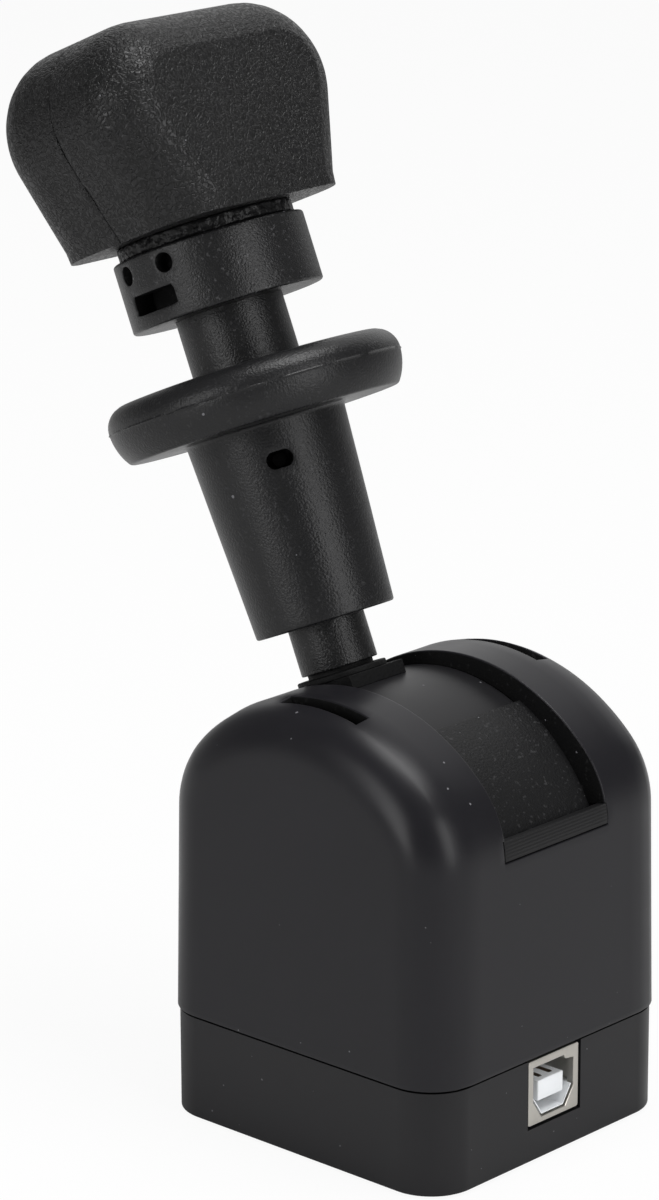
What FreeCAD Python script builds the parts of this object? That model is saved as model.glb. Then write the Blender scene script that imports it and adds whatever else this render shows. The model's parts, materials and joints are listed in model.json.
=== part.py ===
import FreeCAD, Part
import os
from math import acos, asin, atan2, cos, degrees, hypot, pi, radians, sin, sqrt, tan

from FreeCAD import Vector

# Sim racing handbrake: a small box with a leaning lever, a lift ring and a T-shaped knob.
# Millimetres. +Z is up, the origin is at the middle of the underside, on the table.
# +Y is the cable side with the USB socket. The lever leans towards -Y, where the hand pulls from.

# Base tray
tray_x = 56.4
tray_y = 58.7
tray_h = 17.0
corner_r = 7.9
tray_wall = 2.2
tray_floor = 2.4
foot_stand = 0.4            # how far the rubber pad stands out below the tray
pad_sunk = 0.8              # how far it sits in the tray
pad_margin = 3.7            # from the tray's sides to the pad
pad_corner_r = 5.0
insert_spacing = 32.0       # the two threaded inserts that a rig's screws go into
insert_r = 2.8
insert_hole_r = 1.65
insert_h = 5.0

# Housing over the tray
overhang = 0.35             # the housing is this much larger than the tray on each side
arch_bulge = 5.0            # the round top's radius is this much more than the housing's half depth
arch_rise = 20.8            # centre of the round top above the seam
shoulder_r = 16.5
edge_r = 8.2                # round edge between the flat sides and the top
draft = 0.75                # degrees
shell_wall = 2.0

# Channel over the top that the lever runs in
channel_half = 11.9
rib_wall = 1.8              # ribs inside, along both sides of the channel
rib_under = 0.8             # how far the ribs reach below the lowest shutter's groove
channel_end_down = 18.1     # from the top of the housing to the channel's end on the cable side
cover_under = 2.6           # the cover runs this far below that end
end_wall = 2.8              # from the housing's face to the channel's end on the hand side
strip_h = 3.2
strip_wall = 1.2
strip_half = 12.2
seam_gap = 0.06             # hairline between fitted plastic pieces
vent_in = 19.7              # the two cooling slots beside the channel
vent_wide = 2.7
vent_angle = 13.4

# Lever pivot and swing
pivot_y = -2.6
pivot_rise = 21.9           # pivot above the seam
lean = 23.4                 # degrees from upright at rest
swing = 34.0                # degrees of travel towards the cable side
lift = 6.0                  # travel of the lift ring
run_gap = 0.06              # radial clearance of running fits
fit_gap = 0.02              # clearance of fitted pieces
clear = 0.3                 # clearance between moving pieces that don't guide each other

# Shutters, radii about the pivot
shutter_spare = 1.2         # the shutter's radius is this much more than the housing's half depth
shutter_t = 0.7
cover_t = 0.5
tail_t = 0.6
groove_deep = 0.8           # the covers and the tail shutter reach this far into the ribs
tail_share = 0.55           # the tail shutter turns this share of the lever's swing
shutter_front = 52.4        # degrees ahead of the lever
shutter_rear = 25.1         # degrees behind the lever
cover_start = 25.8          # degrees from upright, towards the cable side

# Rotor
axle_r = 4.0
hub_r = 8.5
hub_half = 8.0
post_half = 4.0

# Lever, built up from the shutter
pad_x = 12.4
pad_front = 7.7
pad_back = 6.0
pad_h = 1.25
flange_r = 7.3
flange_t = 0.95
groove_h = 0.75
stem_r = 6.25
stem_show = 7.6             # stem seen below the sleeve
spigot_r = 4.6
spigot_h = 10.0
rod_r = 2.5
neck_r = 8.8
neck_hidden = 18.0          # length of the thicker neck inside the sleeve

# Lift ring and its sleeve
sleeve_h = 32.5
sleeve_foot_r = 11.35
sleeve_top_r = 13.05
sleeve_cap = 2.2
disc_foot_r = 22.2
disc_r = 24.1
disc_widest = 5.35          # heights above the disc's underside
disc_shoulder = 9.05
disc_shoulder_r = 21.4
disc_h = 9.85
ring_pin_down = 6.25        # cross pin below the disc's underside
ring_pin_r = 1.1
ring_pin_turn = 48.3        # direction of the pin's hole, in degrees from +X
pin_seat_deep = 2.1         # blind end of the pin in the sleeve's wall
pin_short = 1.4             # the pin stops this far inside its visible hole
pin_hole_wide = 4.4
pin_hole_high = 2.7

# Collar under the knob
neck_show = 9.55            # neck seen between disc and collar
collar_r = 15.7
collar_h = 11.4
collar_slot_wide = 9.5
collar_slot_high = 3.15
collar_slot_up = 3.8        # slot above the collar's underside
collar_slot_deep = 4.2
collar_hole_r = 1.55
collar_hole_turn = 16.2
collar_hole_down = 2.5      # holes below the collar's top
set_screw_h = 3.5
seat_r = 14.5
seat_t = 2.3
seat_hub_r = 9.0
seat_hub_h = 17.0
seat_spigot_h = 11.0

# Knob
knob_h = 32.6
knob_half_x = 16.8
knob_flare = 0.461          # widening to each side per millimetre of height
knob_shoulder_r = 13.5
knob_half_y = 15.6
knob_taper = 0.046          # narrowing to front and back per millimetre of height
knob_edge_r = 5.8
knob_wall = 2.6
knob_socket_wall = 2.4

# Lock: a sprung rod in the stem whose pin runs over two fixed gates
gate_pin_up = 13.1          # pin above the hub
gate_pin_r = 1.5
gate_t = 2.0
gate_gap = 1.6              # from the post to each gate
gate_low_up = 4.5           # inner edge of the gates above the hub
gate_spare = 18.0           # degrees that the gates run on past both ends of the swing
gate_stud_r = 1.4
gate_stud_up = 2.4
gate_stud_turn = 9.0
notch_deep = 0.8
rod_shoulder = 4.0          # rod above the cross pin
rod_wall = 0.9              # wire of the spring that pushes on it

# Pivot frame
frame_wall = 2.0
frame_side = 13.55          # from the housing's side to each cheek's inner face
frame_long = 24.0
frame_to_board = 1.0        # from the frame to the main board
frame_over = 8.0            # cheeks above the pivot
frame_top_r = 6.5
frame_screw_in = 4.0
frame_screw_side = 4.5      # from a cheek's inner face to its screws
boss_h = 4.0
boss_r = 3.0
screw_r = 1.5
screw_head_r = 2.8
screw_head_h = 1.8
screw_slot = 0.8
case_post_r = 3.6
case_screw_in = 5.6         # from the tray's sides to the case screws
case_screw_up = 7.0         # length of the case screws in the housing's bosses
case_boss_over = 7.0        # the bosses reach this far above the screws
screw_sunk = 0.4
bush_wall = 1.2
bush_flange = 1.0
bush_flange_wide = 1.6
clip_t = 0.72
clip_wide = 2.2
clip_bite = 0.5
axle_end = 2.25             # axle beyond the clips
coil_gap = 0.6
coil_wire = 1.2
coil_room = 1.4             # from the axle to the coil

# Electronics
usb_x = 0.45
usb_wide = 12.04
usb_high = 10.86
usb_deep = 16.2
usb_metal = 0.4
usb_gap = 0.12
usb_drop = 0.13             # socket's top below the seam
plug_wide = 8.45
plug_high = 7.78
plug_bevel = 2.3
plug_deep = 9.0
tongue_wide = 5.6
tongue_high = 3.2
tongue_back = 1.2
contact_h = 0.25
contact_wide = 1.0
contact_pitch = 2.5
contact_long = 6.0
board_t = 1.6
board_deep = 16.4
board_gap = 0.75            # board to the tray's wall
board_post_r = 2.6
board_screw_r = 1.0
board_screw_in = 3.0
board_screw_h = 6.0
board_head_r = 1.9
board_head_h = 1.3
board_tab = 7.0
part_in = 4.5               # from the board's sides to the parts on it
chip_side = 7.0
chip_h = 1.4
part_wide = 5.5
part_deep = 3.0
part_h = 1.6
sensor_gap = 2.0            # from the magnet to the upright sensor board
sensor_behind = 9.0
sensor_over = 8.0
sensor_under = 2.0
sensor_side = 4.8
sensor_h = 1.3
header_side = 2.5
header_long = 5.0
magnet_r = 3.0
magnet_t = 2.2

# Places worked out from the sizes above
tray_z = foot_stand
floor_z = tray_z + tray_floor
seam_z = tray_z + tray_h
arch_z = seam_z + arch_rise
pivot_z = seam_z + pivot_rise
house_half_x = tray_x / 2 + overhang
house_half_y = tray_y / 2 + overhang
arch_r = house_half_y + arch_bulge
arch_top = arch_z + arch_r
rear_end_z = arch_top - channel_end_down
vent_out = vent_in + vent_wide
shutter_r = house_half_y + shutter_spare
shutter_in = shutter_r - shutter_t
cover_in = shutter_r + clear
cover_out = cover_in + cover_t
tail_out = shutter_in - clear
tail_in = tail_out - tail_t
rib_in = tail_in - clear - rib_under
cover_end = degrees(acos((rear_end_z - cover_under - pivot_z) / cover_out))
front_end = degrees(asin((house_half_y + pivot_y - end_wall) / cover_out))
pad_back_angle = degrees(atan2(pad_back, shutter_r))
front_cover_start = -(lean + pad_back_angle + 1.0)
post_angle = degrees(asin(post_half / tail_in))
tail_front = -(lean + post_angle + 0.6)
tail_rear = front_cover_start - 1.0 - swing * tail_share

# Heights along the lever, from the pivot
pad_top = shutter_r + pad_h
stem_foot = pad_top + flange_t + groove_h
spigot_top = stem_foot + spigot_h
sleeve_foot = stem_foot + stem_show
disc_foot = sleeve_foot + sleeve_h
disc_top = disc_foot + disc_h
neck_foot = disc_foot - neck_hidden
collar_foot = disc_top + neck_show
collar_top = collar_foot + collar_h
knob_foot = collar_top + seat_t
knob_top = knob_foot + knob_h
spring_seat = collar_top - seat_spigot_h
ring_pin_h = disc_foot - ring_pin_down
collar_slot_h = collar_foot + collar_slot_up
collar_hole_h = collar_top - collar_hole_down
gate_pin_h = hub_r + gate_pin_up
gate_low = hub_r + gate_low_up
gate_top = gate_pin_h - gate_pin_r - clear
gate_in = post_half + gate_gap
rod_top = ring_pin_h + rod_shoulder
bore_r = rod_r + clear

# Places in the base
frame_z = floor_z + boss_h
frame_half = house_half_x - frame_side
frame_out = frame_half + frame_wall
frame_screw_x = frame_half - frame_screw_side
frame_top = pivot_z + frame_over
clip_x = frame_out + clear
axle_half = clip_x + clip_t + axle_end - magnet_t
magnet_x = axle_half + magnet_t
usb_top = seam_z - usb_drop
usb_low = usb_top - usb_high
board_z = usb_top + fit_gap
board_top = board_z + board_t
board_half = frame_out
board_front = tray_y / 2 - tray_wall - board_gap
board_back = board_front - board_deep
frame_front = board_back - frame_to_board
frame_back = frame_front - frame_long
sensor_x = magnet_x + sensor_gap

X = Vector(1, 0, 0)
Y = Vector(0, 1, 0)
Z = Vector(0, 0, 1)


def box(x0, x1, y0, y1, z0, z1):
    return Part.makeBox(x1 - x0, y1 - y0, z1 - z0, Vector(x0, y0, z0))


def rod(radius, start, end):
    span = end - start
    return Part.makeCylinder(radius, span.Length, start, span)


def ring(outer, inner, z0, z1):
    solid = Part.makeCylinder(outer, z1 - z0, Vector(0, 0, z0))
    return solid.cut(Part.makeCylinder(inner, z1 - z0 + 2, Vector(0, 0, z0 - 1)))


def face_of(points):
    return Part.Face(Part.makePolygon(points + [points[0]]))


def fuse(first, *others):
    return first.multiFuse(list(others)).removeSplitter()


def group(shapes):
    return Part.makeCompound(shapes)


def rounded_box(half_x, half_y, radius, z0, z1):
    solid = box(-half_x, half_x, -half_y, half_y, z0, z1)
    upright = [e for e in solid.Edges if abs(e.Vertexes[0].Z - e.Vertexes[1].Z) > (z1 - z0) / 2]
    return solid.makeFillet(radius, upright)


def at_lever(shape):
    """Moves a shape built upright about the pivot to the lever's lean."""
    shape.rotate(Vector(0, 0, 0), X, lean)
    shape.translate(Vector(0, pivot_y, pivot_z))
    return shape


def about_pivot(radius, angle):
    a = radians(angle)
    return Vector(0, pivot_y + radius * sin(a), pivot_z + radius * cos(a))


def sector(r_in, r_out, start, end, half_x):
    """Part of a ring about the pivot's axis, from start to end in degrees from upright."""
    turns = (start, (start + end) / 2, end)
    outer = Part.Arc(*[about_pivot(r_out, turn) for turn in turns]).toShape()
    inner = Part.Arc(*[about_pivot(r_in, turn) for turn in turns]).toShape()
    side_a = Part.makeLine(about_pivot(r_out, end), about_pivot(r_in, end))
    side_b = Part.makeLine(about_pivot(r_in, start), about_pivot(r_out, start))
    face = Part.Face(Part.Wire(Part.__sortEdges__([outer, side_a, inner, side_b])))
    face.translate(X * -half_x)
    return face.extrude(X * (2 * half_x))


# Outer form of the housing

def arch_solid(inset, z0):
    """The housing's drafted and rounded block, shrunk by inset on every side but the underside."""
    half_x = house_half_x - inset
    half_y = house_half_y - inset
    top_r = arch_r - inset
    bend_r = shoulder_r - inset
    slope = tan(radians(draft))
    foot_y = half_y + (seam_z - z0) * slope
    foot_x = half_x + (seam_z - z0) * slope
    # The shoulder touches the drafted wall from inside and the round top from inside.
    a = foot_y + z0 * slope - bend_r / cos(radians(draft))
    b = a * slope + arch_z
    c = a * a + arch_z * arch_z - (top_r - bend_r) ** 2
    bend_z = (b + sqrt(b * b - (1 + slope * slope) * c)) / (1 + slope * slope)
    bend_y = a - bend_z * slope
    turn = radians(draft)
    top_turn = atan2(bend_z - arch_z, bend_y)
    middle = (turn + top_turn) / 2
    low = (bend_y + bend_r * cos(turn), bend_z + bend_r * sin(turn))
    mid = (bend_y + bend_r * cos(middle), bend_z + bend_r * sin(middle))
    high = (top_r * cos(top_turn), arch_z + top_r * sin(top_turn))

    def point(yz, side):
        return Vector(0, side * yz[0], yz[1])

    top = Vector(0, 0, arch_z + top_r)
    foot = (foot_y, z0)
    edges = [Part.makeLine(point(foot, -1), point(foot, 1)),
             Part.makeLine(point(foot, 1), point(low, 1)),
             Part.Arc(point(low, 1), point(mid, 1), point(high, 1)).toShape(),
             Part.Arc(point(high, 1), top, point(high, -1)).toShape(),
             Part.Arc(point(high, -1), point(mid, -1), point(low, -1)).toShape(),
             Part.makeLine(point(low, -1), point(foot, -1))]
    profile = Part.Face(Part.Wire(edges))
    profile.translate(X * -foot_x * 1.1)
    block = profile.extrude(X * foot_x * 2.2)
    z1 = arch_z + top_r + 1
    top_x = foot_x - (z1 - z0) * slope
    side = face_of([Vector(-foot_x, -foot_y * 1.1, z0), Vector(foot_x, -foot_y * 1.1, z0),
                    Vector(top_x, -foot_y * 1.1, z1), Vector(-top_x, -foot_y * 1.1, z1)])
    block = block.common(side.extrude(Y * foot_y * 2.2))

    def on_side(vertex):
        return abs(abs(vertex.X) - (foot_x - (vertex.Z - z0) * slope)) < 0.001

    round_edges = [e for e in block.Edges
                   if all(on_side(v) for v in e.Vertexes) and e.BoundBox.ZMax > z0 + 0.01]
    return block.makeFillet(max(edge_r - inset, 1.0), round_edges)


# Screw places, shared by the tray, the housing, the frame and the screws
sides = (-1, 1)
case_screw_x = tray_x / 2 - case_screw_in
case_screw_y = tray_y / 2 - case_screw_in
case_screw_at = [(sx * case_screw_x, sy * case_screw_y) for sx in sides for sy in sides]
frame_screw_at = [(sx * frame_screw_x, y) for sx in sides
                  for y in (frame_back + frame_screw_in, frame_front - frame_screw_in)]
board_screw_at = [(sx * (board_half - board_screw_in), board_back + board_screw_in) for sx in sides]
insert_at = [(sx * insert_spacing / 2, 0.0) for sx in sides]


def posts(places, radius, z0, z1):
    return [Part.makeCylinder(radius, z1 - z0, Vector(x, y, z0)) for x, y in places]


def drill(shape, places, radius, z0, z1):
    for hole in posts(places, radius, z0, z1):
        shape = shape.cut(hole)
    return shape


def base_tray():
    outer = rounded_box(tray_x / 2, tray_y / 2, corner_r, tray_z, seam_z)
    bottom_loop = [e for e in outer.Edges if e.BoundBox.ZMax < tray_z + 0.01]
    outer = outer.makeFillet(0.4, bottom_loop)
    inner_x = tray_x / 2 - tray_wall
    inner_y = tray_y / 2 - tray_wall
    inner = rounded_box(inner_x, inner_y, corner_r - tray_wall, floor_z, seam_z + 1)
    root = floor_z - tray_floor / 2
    add = posts(case_screw_at, case_post_r, root, seam_z)
    add += posts(frame_screw_at, boss_r, root, frame_z)
    add += posts(board_screw_at, board_post_r, root, board_z)
    add += posts(insert_at, insert_r + 1.6, root, tray_z + insert_h + 1.2)
    tray = fuse(outer.cut(inner), *add)
    tray = drill(tray, case_screw_at, screw_r + 0.1, tray_z - 1, seam_z + 1)
    tray = drill(tray, case_screw_at, screw_head_r + 0.2, tray_z - 1, tray_z + screw_sunk + screw_head_h)
    tray = drill(tray, frame_screw_at, screw_r + fit_gap, floor_z, frame_z + 1)
    tray = drill(tray, board_screw_at, board_screw_r + fit_gap, board_top - board_screw_h, board_z + 1)
    tray = drill(tray, insert_at, insert_r + 0.01, tray_z - 1, tray_z + insert_h)
    tray = tray.cut(pad_outline(0.05, tray_z - 1, tray_z + pad_sunk))
    side = usb_wide / 2 + usb_gap
    y0 = tray_y / 2 - tray_wall - 1
    window = box(usb_x - side, usb_x + side, y0, tray_y / 2 + 1, usb_low - usb_gap, seam_z + 1)
    return tray.cut(window)


def pad_outline(grow, z0, z1):
    """The rubber pad's outline, cut away round the case screws and the inserts."""
    half_x = tray_x / 2 - pad_margin + grow
    half_y = tray_y / 2 - pad_margin + grow
    pad = rounded_box(half_x, half_y, pad_corner_r + grow, z0, z1)
    pad = drill(pad, case_screw_at, screw_head_r + 1.6 - grow, z0 - 1, z1 + 1)
    return drill(pad, insert_at, insert_r + 0.7 - grow, z0 - 1, z1 + 1)


def base_pad():
    pad = pad_outline(0, 0, tray_z + pad_sunk)
    rim = [e for e in pad.Edges if e.BoundBox.ZMax < 0.01]
    return pad.makeChamfer(0.2, rim)


def mount_inserts():
    sleeves = []
    for x, y in insert_at:
        sleeve = Part.makeCylinder(insert_r, insert_h, Vector(x, y, tray_z))
        sleeves.append(sleeve.cut(Part.makeCylinder(insert_hole_r, insert_h + 2, Vector(x, y, tray_z - 1))))
    return group(sleeves)


def vent_cut(side):
    a = radians(vent_angle)
    length = 2 * arch_r * sin(a)
    x0 = vent_in if side > 0 else -vent_out
    return box(x0, x0 + vent_wide, -length / 2, length / 2, arch_z + arch_r * cos(a) - 8, arch_top + 2)


def housing():
    outer = arch_solid(0, seam_z)
    shell = outer.cut(arch_solid(shell_wall, seam_z - 1))
    # Ribs under both edges of the channel, cut to the shutters' radii
    for side in sides:
        rib = sector(rib_in, 2 * arch_r, -80, 84, rib_wall / 2)
        rib.translate(X * side * (channel_half + rib_wall / 2))
        shell = shell.fuse(rib.common(outer))
    half = channel_half
    far = 2 * arch_r
    shell = shell.cut(box(-half, half, 0, far, rear_end_z, arch_top + 5))
    front_end_z = about_pivot(cover_out, -front_end).z
    shell = shell.cut(box(-half, half, -far, 0.01, front_end_z, arch_top + 5))
    # Room for the lever's shutter and for the tail shutter under it
    shell = shell.cut(sector(hub_r, cover_in, -front_end, cover_end + 12, half))
    tail_stop = tail_front + swing * tail_share
    groove = half + groove_deep + 0.2
    shell = shell.cut(sector(tail_in - clear, tail_out + clear, tail_rear - 1.2, tail_stop + 2, groove))
    # Seats for the fixed covers and the end strip
    groove = half + groove_deep
    shell = shell.cut(sector(cover_in, cover_out + 0.05, cover_start, cover_end, groove))
    shell = shell.cut(sector(cover_in, cover_out + 0.05, -front_end, front_cover_start, groove))
    strip_z = rear_end_z - strip_h
    half = strip_half + seam_gap
    back = house_half_y - strip_wall - 0.6
    shell = shell.cut(box(-half, half, back, house_half_y + 1, strip_z - seam_gap, rear_end_z + 0.5))
    for side in sides:
        shell = shell.cut(vent_cut(side))
    # Screw bosses in the corners
    inner_wall = arch_solid(shell_wall / 2, seam_z)
    for boss in posts(case_screw_at, case_post_r, seam_z, seam_z + case_screw_up + case_boss_over):
        shell = shell.fuse(boss.common(inner_wall))
    shell = drill(shell, case_screw_at, screw_r + fit_gap, seam_z - 1, seam_z + case_screw_up + 2)
    return shell.removeSplitter()


def rear_end_strip():
    back = house_half_y - strip_wall - 0.55
    block = box(-strip_half, strip_half, back, house_half_y + 1, rear_end_z - strip_h, rear_end_z)
    return arch_solid(0, seam_z).common(block)


def slot_cover(start, end):
    plate = sector(cover_in + fit_gap, cover_out, start, end, channel_half + groove_deep - 0.05)
    return plate.common(arch_solid(0, seam_z))


def case_screws():
    screws = []
    for x, y in case_screw_at:
        z = tray_z + screw_sunk
        head = Part.makeCylinder(screw_head_r, screw_head_h, Vector(x, y, z))
        reach = screw_head_r - 1.0
        socket = box(x - 0.5, x + 0.5, y - reach, y + reach, z - 1, z + screw_slot)
        cross = box(x - reach, x + reach, y - 0.5, y + 0.5, z - 1, z + screw_slot)
        shank = Part.makeCylinder(screw_r, seam_z + case_screw_up - z, Vector(x, y, z))
        screws.append(fuse(head, shank).cut(socket).cut(cross))
    return group(screws)


def pivot_frame():
    web = box(-frame_out, frame_out, frame_back, frame_front, frame_z, frame_z + frame_wall)
    cheeks = []
    for side in sides:
        x0 = frame_half if side > 0 else -frame_out
        cheek = box(x0, x0 + frame_wall, frame_back, frame_front, frame_z, frame_top)
        upper = [e for e in cheek.Edges if e.BoundBox.ZMin > frame_top - 0.01 and e.BoundBox.YLength < 0.01]
        cheeks.append(cheek.makeFillet(frame_top_r, upper))
    frame = fuse(web, *cheeks)
    frame = drill(frame, frame_screw_at, screw_r + 0.15, frame_z - 1, frame_z + frame_wall + 1)
    frame = frame.cut(along_x(axle_r + run_gap + bush_wall, -2 * frame_out, 2 * frame_out))
    for stud in gate_studs(fit_gap):
        frame = frame.cut(stud)
    return frame


def frame_screws():
    screws = []
    for x, y in frame_screw_at:
        z = frame_z + frame_wall
        head = Part.makeCylinder(screw_head_r, screw_head_h, Vector(x, y, z))
        low = floor_z + 0.6
        shank = Part.makeCylinder(screw_r, z - low + 0.5, Vector(x, y, low))
        top = z + screw_head_h
        slot = box(x - 2 * screw_r, x + 2 * screw_r, y - 0.4, y + 0.4, top - screw_slot, top + 1)
        screws.append(fuse(head, shank).cut(slot))
    return group(screws)


def along_x(radius, x0, x1):
    """A round bar on the pivot's axis."""
    return rod(radius, Vector(x0, pivot_y, pivot_z), Vector(x1, pivot_y, pivot_z))


def pivot_bushes():
    bushes = []
    for side in sides:
        inner = axle_r + run_gap
        wide = inner + bush_wall + bush_flange_wide
        flange = along_x(wide, side * (frame_half - bush_flange), side * frame_half)
        bush = fuse(flange, along_x(inner + bush_wall, side * frame_half, side * frame_out))
        bushes.append(bush.cut(along_x(inner, 0, side * 2 * frame_out)))
    return group(bushes)


def gate_studs(extra):
    """The four studs that carry the lock's gates on the frame."""
    studs = []
    for side in sides:
        for angle in (-lean - gate_stud_turn, swing - lean + gate_stud_turn):
            at = about_pivot(gate_low + gate_stud_up, angle)
            a = Vector(side * (gate_in + gate_t), at.y, at.z)
            b = Vector(side * frame_out, at.y, at.z)
            studs.append(rod(gate_stud_r + extra, a, b))
    return studs


def lock_gates():
    gates = []
    studs = gate_studs(0)
    for side in sides:
        gate = sector(gate_low, gate_top, -lean - gate_spare, swing - lean + gate_spare, gate_t / 2)
        gate.translate(X * side * (gate_in + gate_t / 2))
        for angle in (-lean, swing - lean):
            at = about_pivot(gate_top + gate_pin_r - notch_deep, angle)
            far = X * side * (gate_in + gate_t + 1)
            gate = gate.cut(rod(gate_pin_r + 0.1, at, at + far))
        own = [stud for stud in studs if stud.BoundBox.Center.x * side > 0]
        gates.append(fuse(gate, *own))
    return group(gates)


def return_springs():
    """Torsion springs round the axle beside the hub, each with a leg on the frame's web."""
    springs = []
    coil_in = axle_r + coil_room
    coil_r = coil_in + coil_wire
    for side in sides:
        x0 = side * (hub_half + coil_gap)
        x1 = side * (frame_half - bush_flange - coil_gap)
        coil = along_x(coil_r, x0, x1).cut(along_x(coil_in, 0, 2 * x1))
        leg_r = coil_wire * 0.45
        leg_x = x1 - side * coil_wire / 2
        leg_y = pivot_y - coil_r + coil_wire / 2
        leg = rod(leg_r, Vector(leg_x, leg_y, frame_z + frame_wall), Vector(leg_x, leg_y, pivot_z))
        springs.append(fuse(coil, leg))
    return group(springs)


# Electronics

def main_board():
    plate = box(-board_half, board_half, board_back, board_front, board_z, board_top)
    tab = box(-sensor_x, -board_half, board_back, board_back + board_tab, board_z, board_top)
    return drill(fuse(plate, tab), board_screw_at, board_screw_r + 0.15, board_z - 1, board_top + 1)


def board_screws():
    screws = []
    for x, y in board_screw_at:
        head = Part.makeCylinder(board_head_r, board_head_h, Vector(x, y, board_top))
        shank = Part.makeCylinder(board_screw_r, board_screw_h + 0.5, Vector(x, y, board_top - board_screw_h))
        screws.append(fuse(head, shank))
    return group(screws)


def usb_profile(grow):
    """Outline of the square plug, upside down: its two bevels are at the bottom."""
    half = plug_wide / 2 + grow
    low = usb_low + (usb_high - plug_high) / 2 - grow
    high = low + plug_high + 2 * grow
    y = tray_y / 2
    return face_of([Vector(usb_x - half, y, high), Vector(usb_x + half, y, high),
                    Vector(usb_x + half, y, low + plug_bevel), Vector(usb_x + half - plug_bevel, y, low),
                    Vector(usb_x - half + plug_bevel, y, low), Vector(usb_x - half, y, low + plug_bevel)])


def usb_shell():
    x0 = usb_x - usb_wide / 2
    x1 = usb_x + usb_wide / 2
    y1 = tray_y / 2
    y0 = y1 - usb_deep
    t = usb_metal
    shell = box(x0, x1, y0, y1, usb_low, usb_top)
    shell = shell.cut(box(x0 + t, x1 - t, y0 - 1, y1 - t, usb_low + t, usb_top - t))
    mouth = usb_profile(0.15).extrude(Y * 3)
    mouth.translate(Y * -1.5)
    return shell.cut(mouth)


def usb_insulator():
    y1 = tray_y / 2 - usb_metal - 0.05
    y0 = tray_y / 2 - usb_deep + 0.2
    inset = usb_metal + 0.05
    half = usb_wide / 2 - inset
    block = box(usb_x - half, usb_x + half, y0, y1, usb_low + inset, usb_top - inset)
    well = usb_profile(0.0).extrude(Y * (plug_deep + 5))
    well.translate(Y * -plug_deep)
    middle = usb_low + usb_high / 2
    half = tongue_wide / 2
    rise = tongue_high / 2
    tongue = box(usb_x - half, usb_x + half, y0 + 1, y1 - tongue_back, middle - rise, middle + rise)
    return fuse(block.cut(well), tongue)


def usb_contacts():
    middle = usb_low + usb_high / 2
    y1 = tray_y / 2 - usb_metal - tongue_back - 0.6
    strips = []
    for side in sides:
        z0 = middle + side * tongue_high / 2
        z_low, z_high = sorted((z0, z0 + side * contact_h))
        for step in sides:
            x = usb_x + step * contact_pitch / 2
            half = contact_wide / 2
            strips.append(box(x - half, x + half, y1 - contact_long, y1, z_low, z_high))
    return group(strips)


def board_parts():
    z = board_top
    x0 = -board_half + part_in
    y0 = board_back + board_screw_in + board_head_r + 1.5
    chip = box(x0, x0 + chip_side, y0, y0 + chip_side, z, z + chip_h)
    x1 = board_half - part_in
    crystal = box(x1 - part_wide, x1, y0, y0 + part_deep / 2, z, z + part_h)
    y1 = y0 + part_deep
    regulator = box(x1 - part_wide, x1, y1, y1 + part_deep, z, z + part_h)
    return group([chip, crystal, regulator])


def sensor_board():
    y0 = pivot_y - sensor_behind
    y1 = board_back + board_tab
    return box(-sensor_x - board_t, -sensor_x, y0, y1, board_z - sensor_under, pivot_z + sensor_over)


def sensor_header():
    y0 = board_back + (board_tab - header_long) / 2
    return box(-sensor_x, -sensor_x + header_side, y0, y0 + header_long, board_top, board_top + header_side)


def sensor_chip():
    half = sensor_side / 2
    return box(-sensor_x, -sensor_x + sensor_h, pivot_y - half, pivot_y + half, pivot_z - half, pivot_z + half)


# Pieces that turn with the lever

def pivot_axle():
    axle = along_x(axle_r, -axle_half, axle_half)
    for side in sides:
        x0 = side * (clip_x - 0.04)
        x1 = side * (clip_x + clip_t + 0.04)
        groove = along_x(axle_r + 1, x0, x1).cut(along_x(axle_r - clip_bite, 0, 2 * x1))
        axle = axle.cut(groove)
    return axle


def axle_clips():
    clips = []
    for side in sides:
        clip = along_x(axle_r + clip_wide, side * clip_x, side * (clip_x + clip_t))
        clip = clip.cut(along_x(axle_r - clip_bite + fit_gap, 0, side * 2 * frame_out))
        half = axle_r * 0.6
        low = pivot_z - axle_r - clip_wide - 1
        mouth = box(-2 * frame_out, 2 * frame_out, pivot_y - half, pivot_y + half, low, pivot_z - axle_r * 0.6)
        clips.append(clip.cut(mouth))
    return group(clips)


def sensor_magnet():
    return along_x(magnet_r, -magnet_x, -axle_half)


def rotor():
    hub = rod(hub_r, Vector(-hub_half, 0, 0), Vector(hub_half, 0, 0))
    post = box(-post_half, post_half, -post_half, post_half, 0, pad_top)
    spigot = Part.makeCylinder(spigot_r, spigot_top - pad_top, Vector(0, 0, pad_top))
    body = fuse(hub, post, spigot)
    body = body.cut(rod(axle_r + 0.01, Vector(-2 * hub_half, 0, 0), Vector(2 * hub_half, 0, 0)))
    body = body.cut(Part.makeCylinder(bore_r, spigot_top, Vector(0, 0, gate_top - 1.5)))
    # Slot that the gate pin rises in
    half = gate_pin_r + clear
    body = body.cut(box(-hub_half, hub_half, -half, half, gate_pin_h - half, gate_pin_h + lift + half))
    return at_lever(body)


def post_hole():
    half = post_half + fit_gap
    return at_lever(box(-half, half, -half, half, tail_in, 2 * shutter_r))


def lever_shutter():
    plate = sector(shutter_in, shutter_r, -lean - shutter_rear, -lean + shutter_front, channel_half - clear)
    return plate.cut(post_hole())


def shutter_pad():
    pad = at_lever(box(-pad_x / 2, pad_x / 2, -pad_back, pad_front, shutter_in - 4, pad_top))
    pad = pad.cut(sector(hub_r, shutter_r + 0.01, -80, 60, pad_x))
    return pad.cut(post_hole())


def stem_flange():
    plate = ring(flange_r, spigot_r + fit_gap, pad_top, pad_top + flange_t)
    groove = ring(stem_r - 0.9, spigot_r + fit_gap, pad_top + flange_t, stem_foot)
    return at_lever(fuse(plate, groove))


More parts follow.
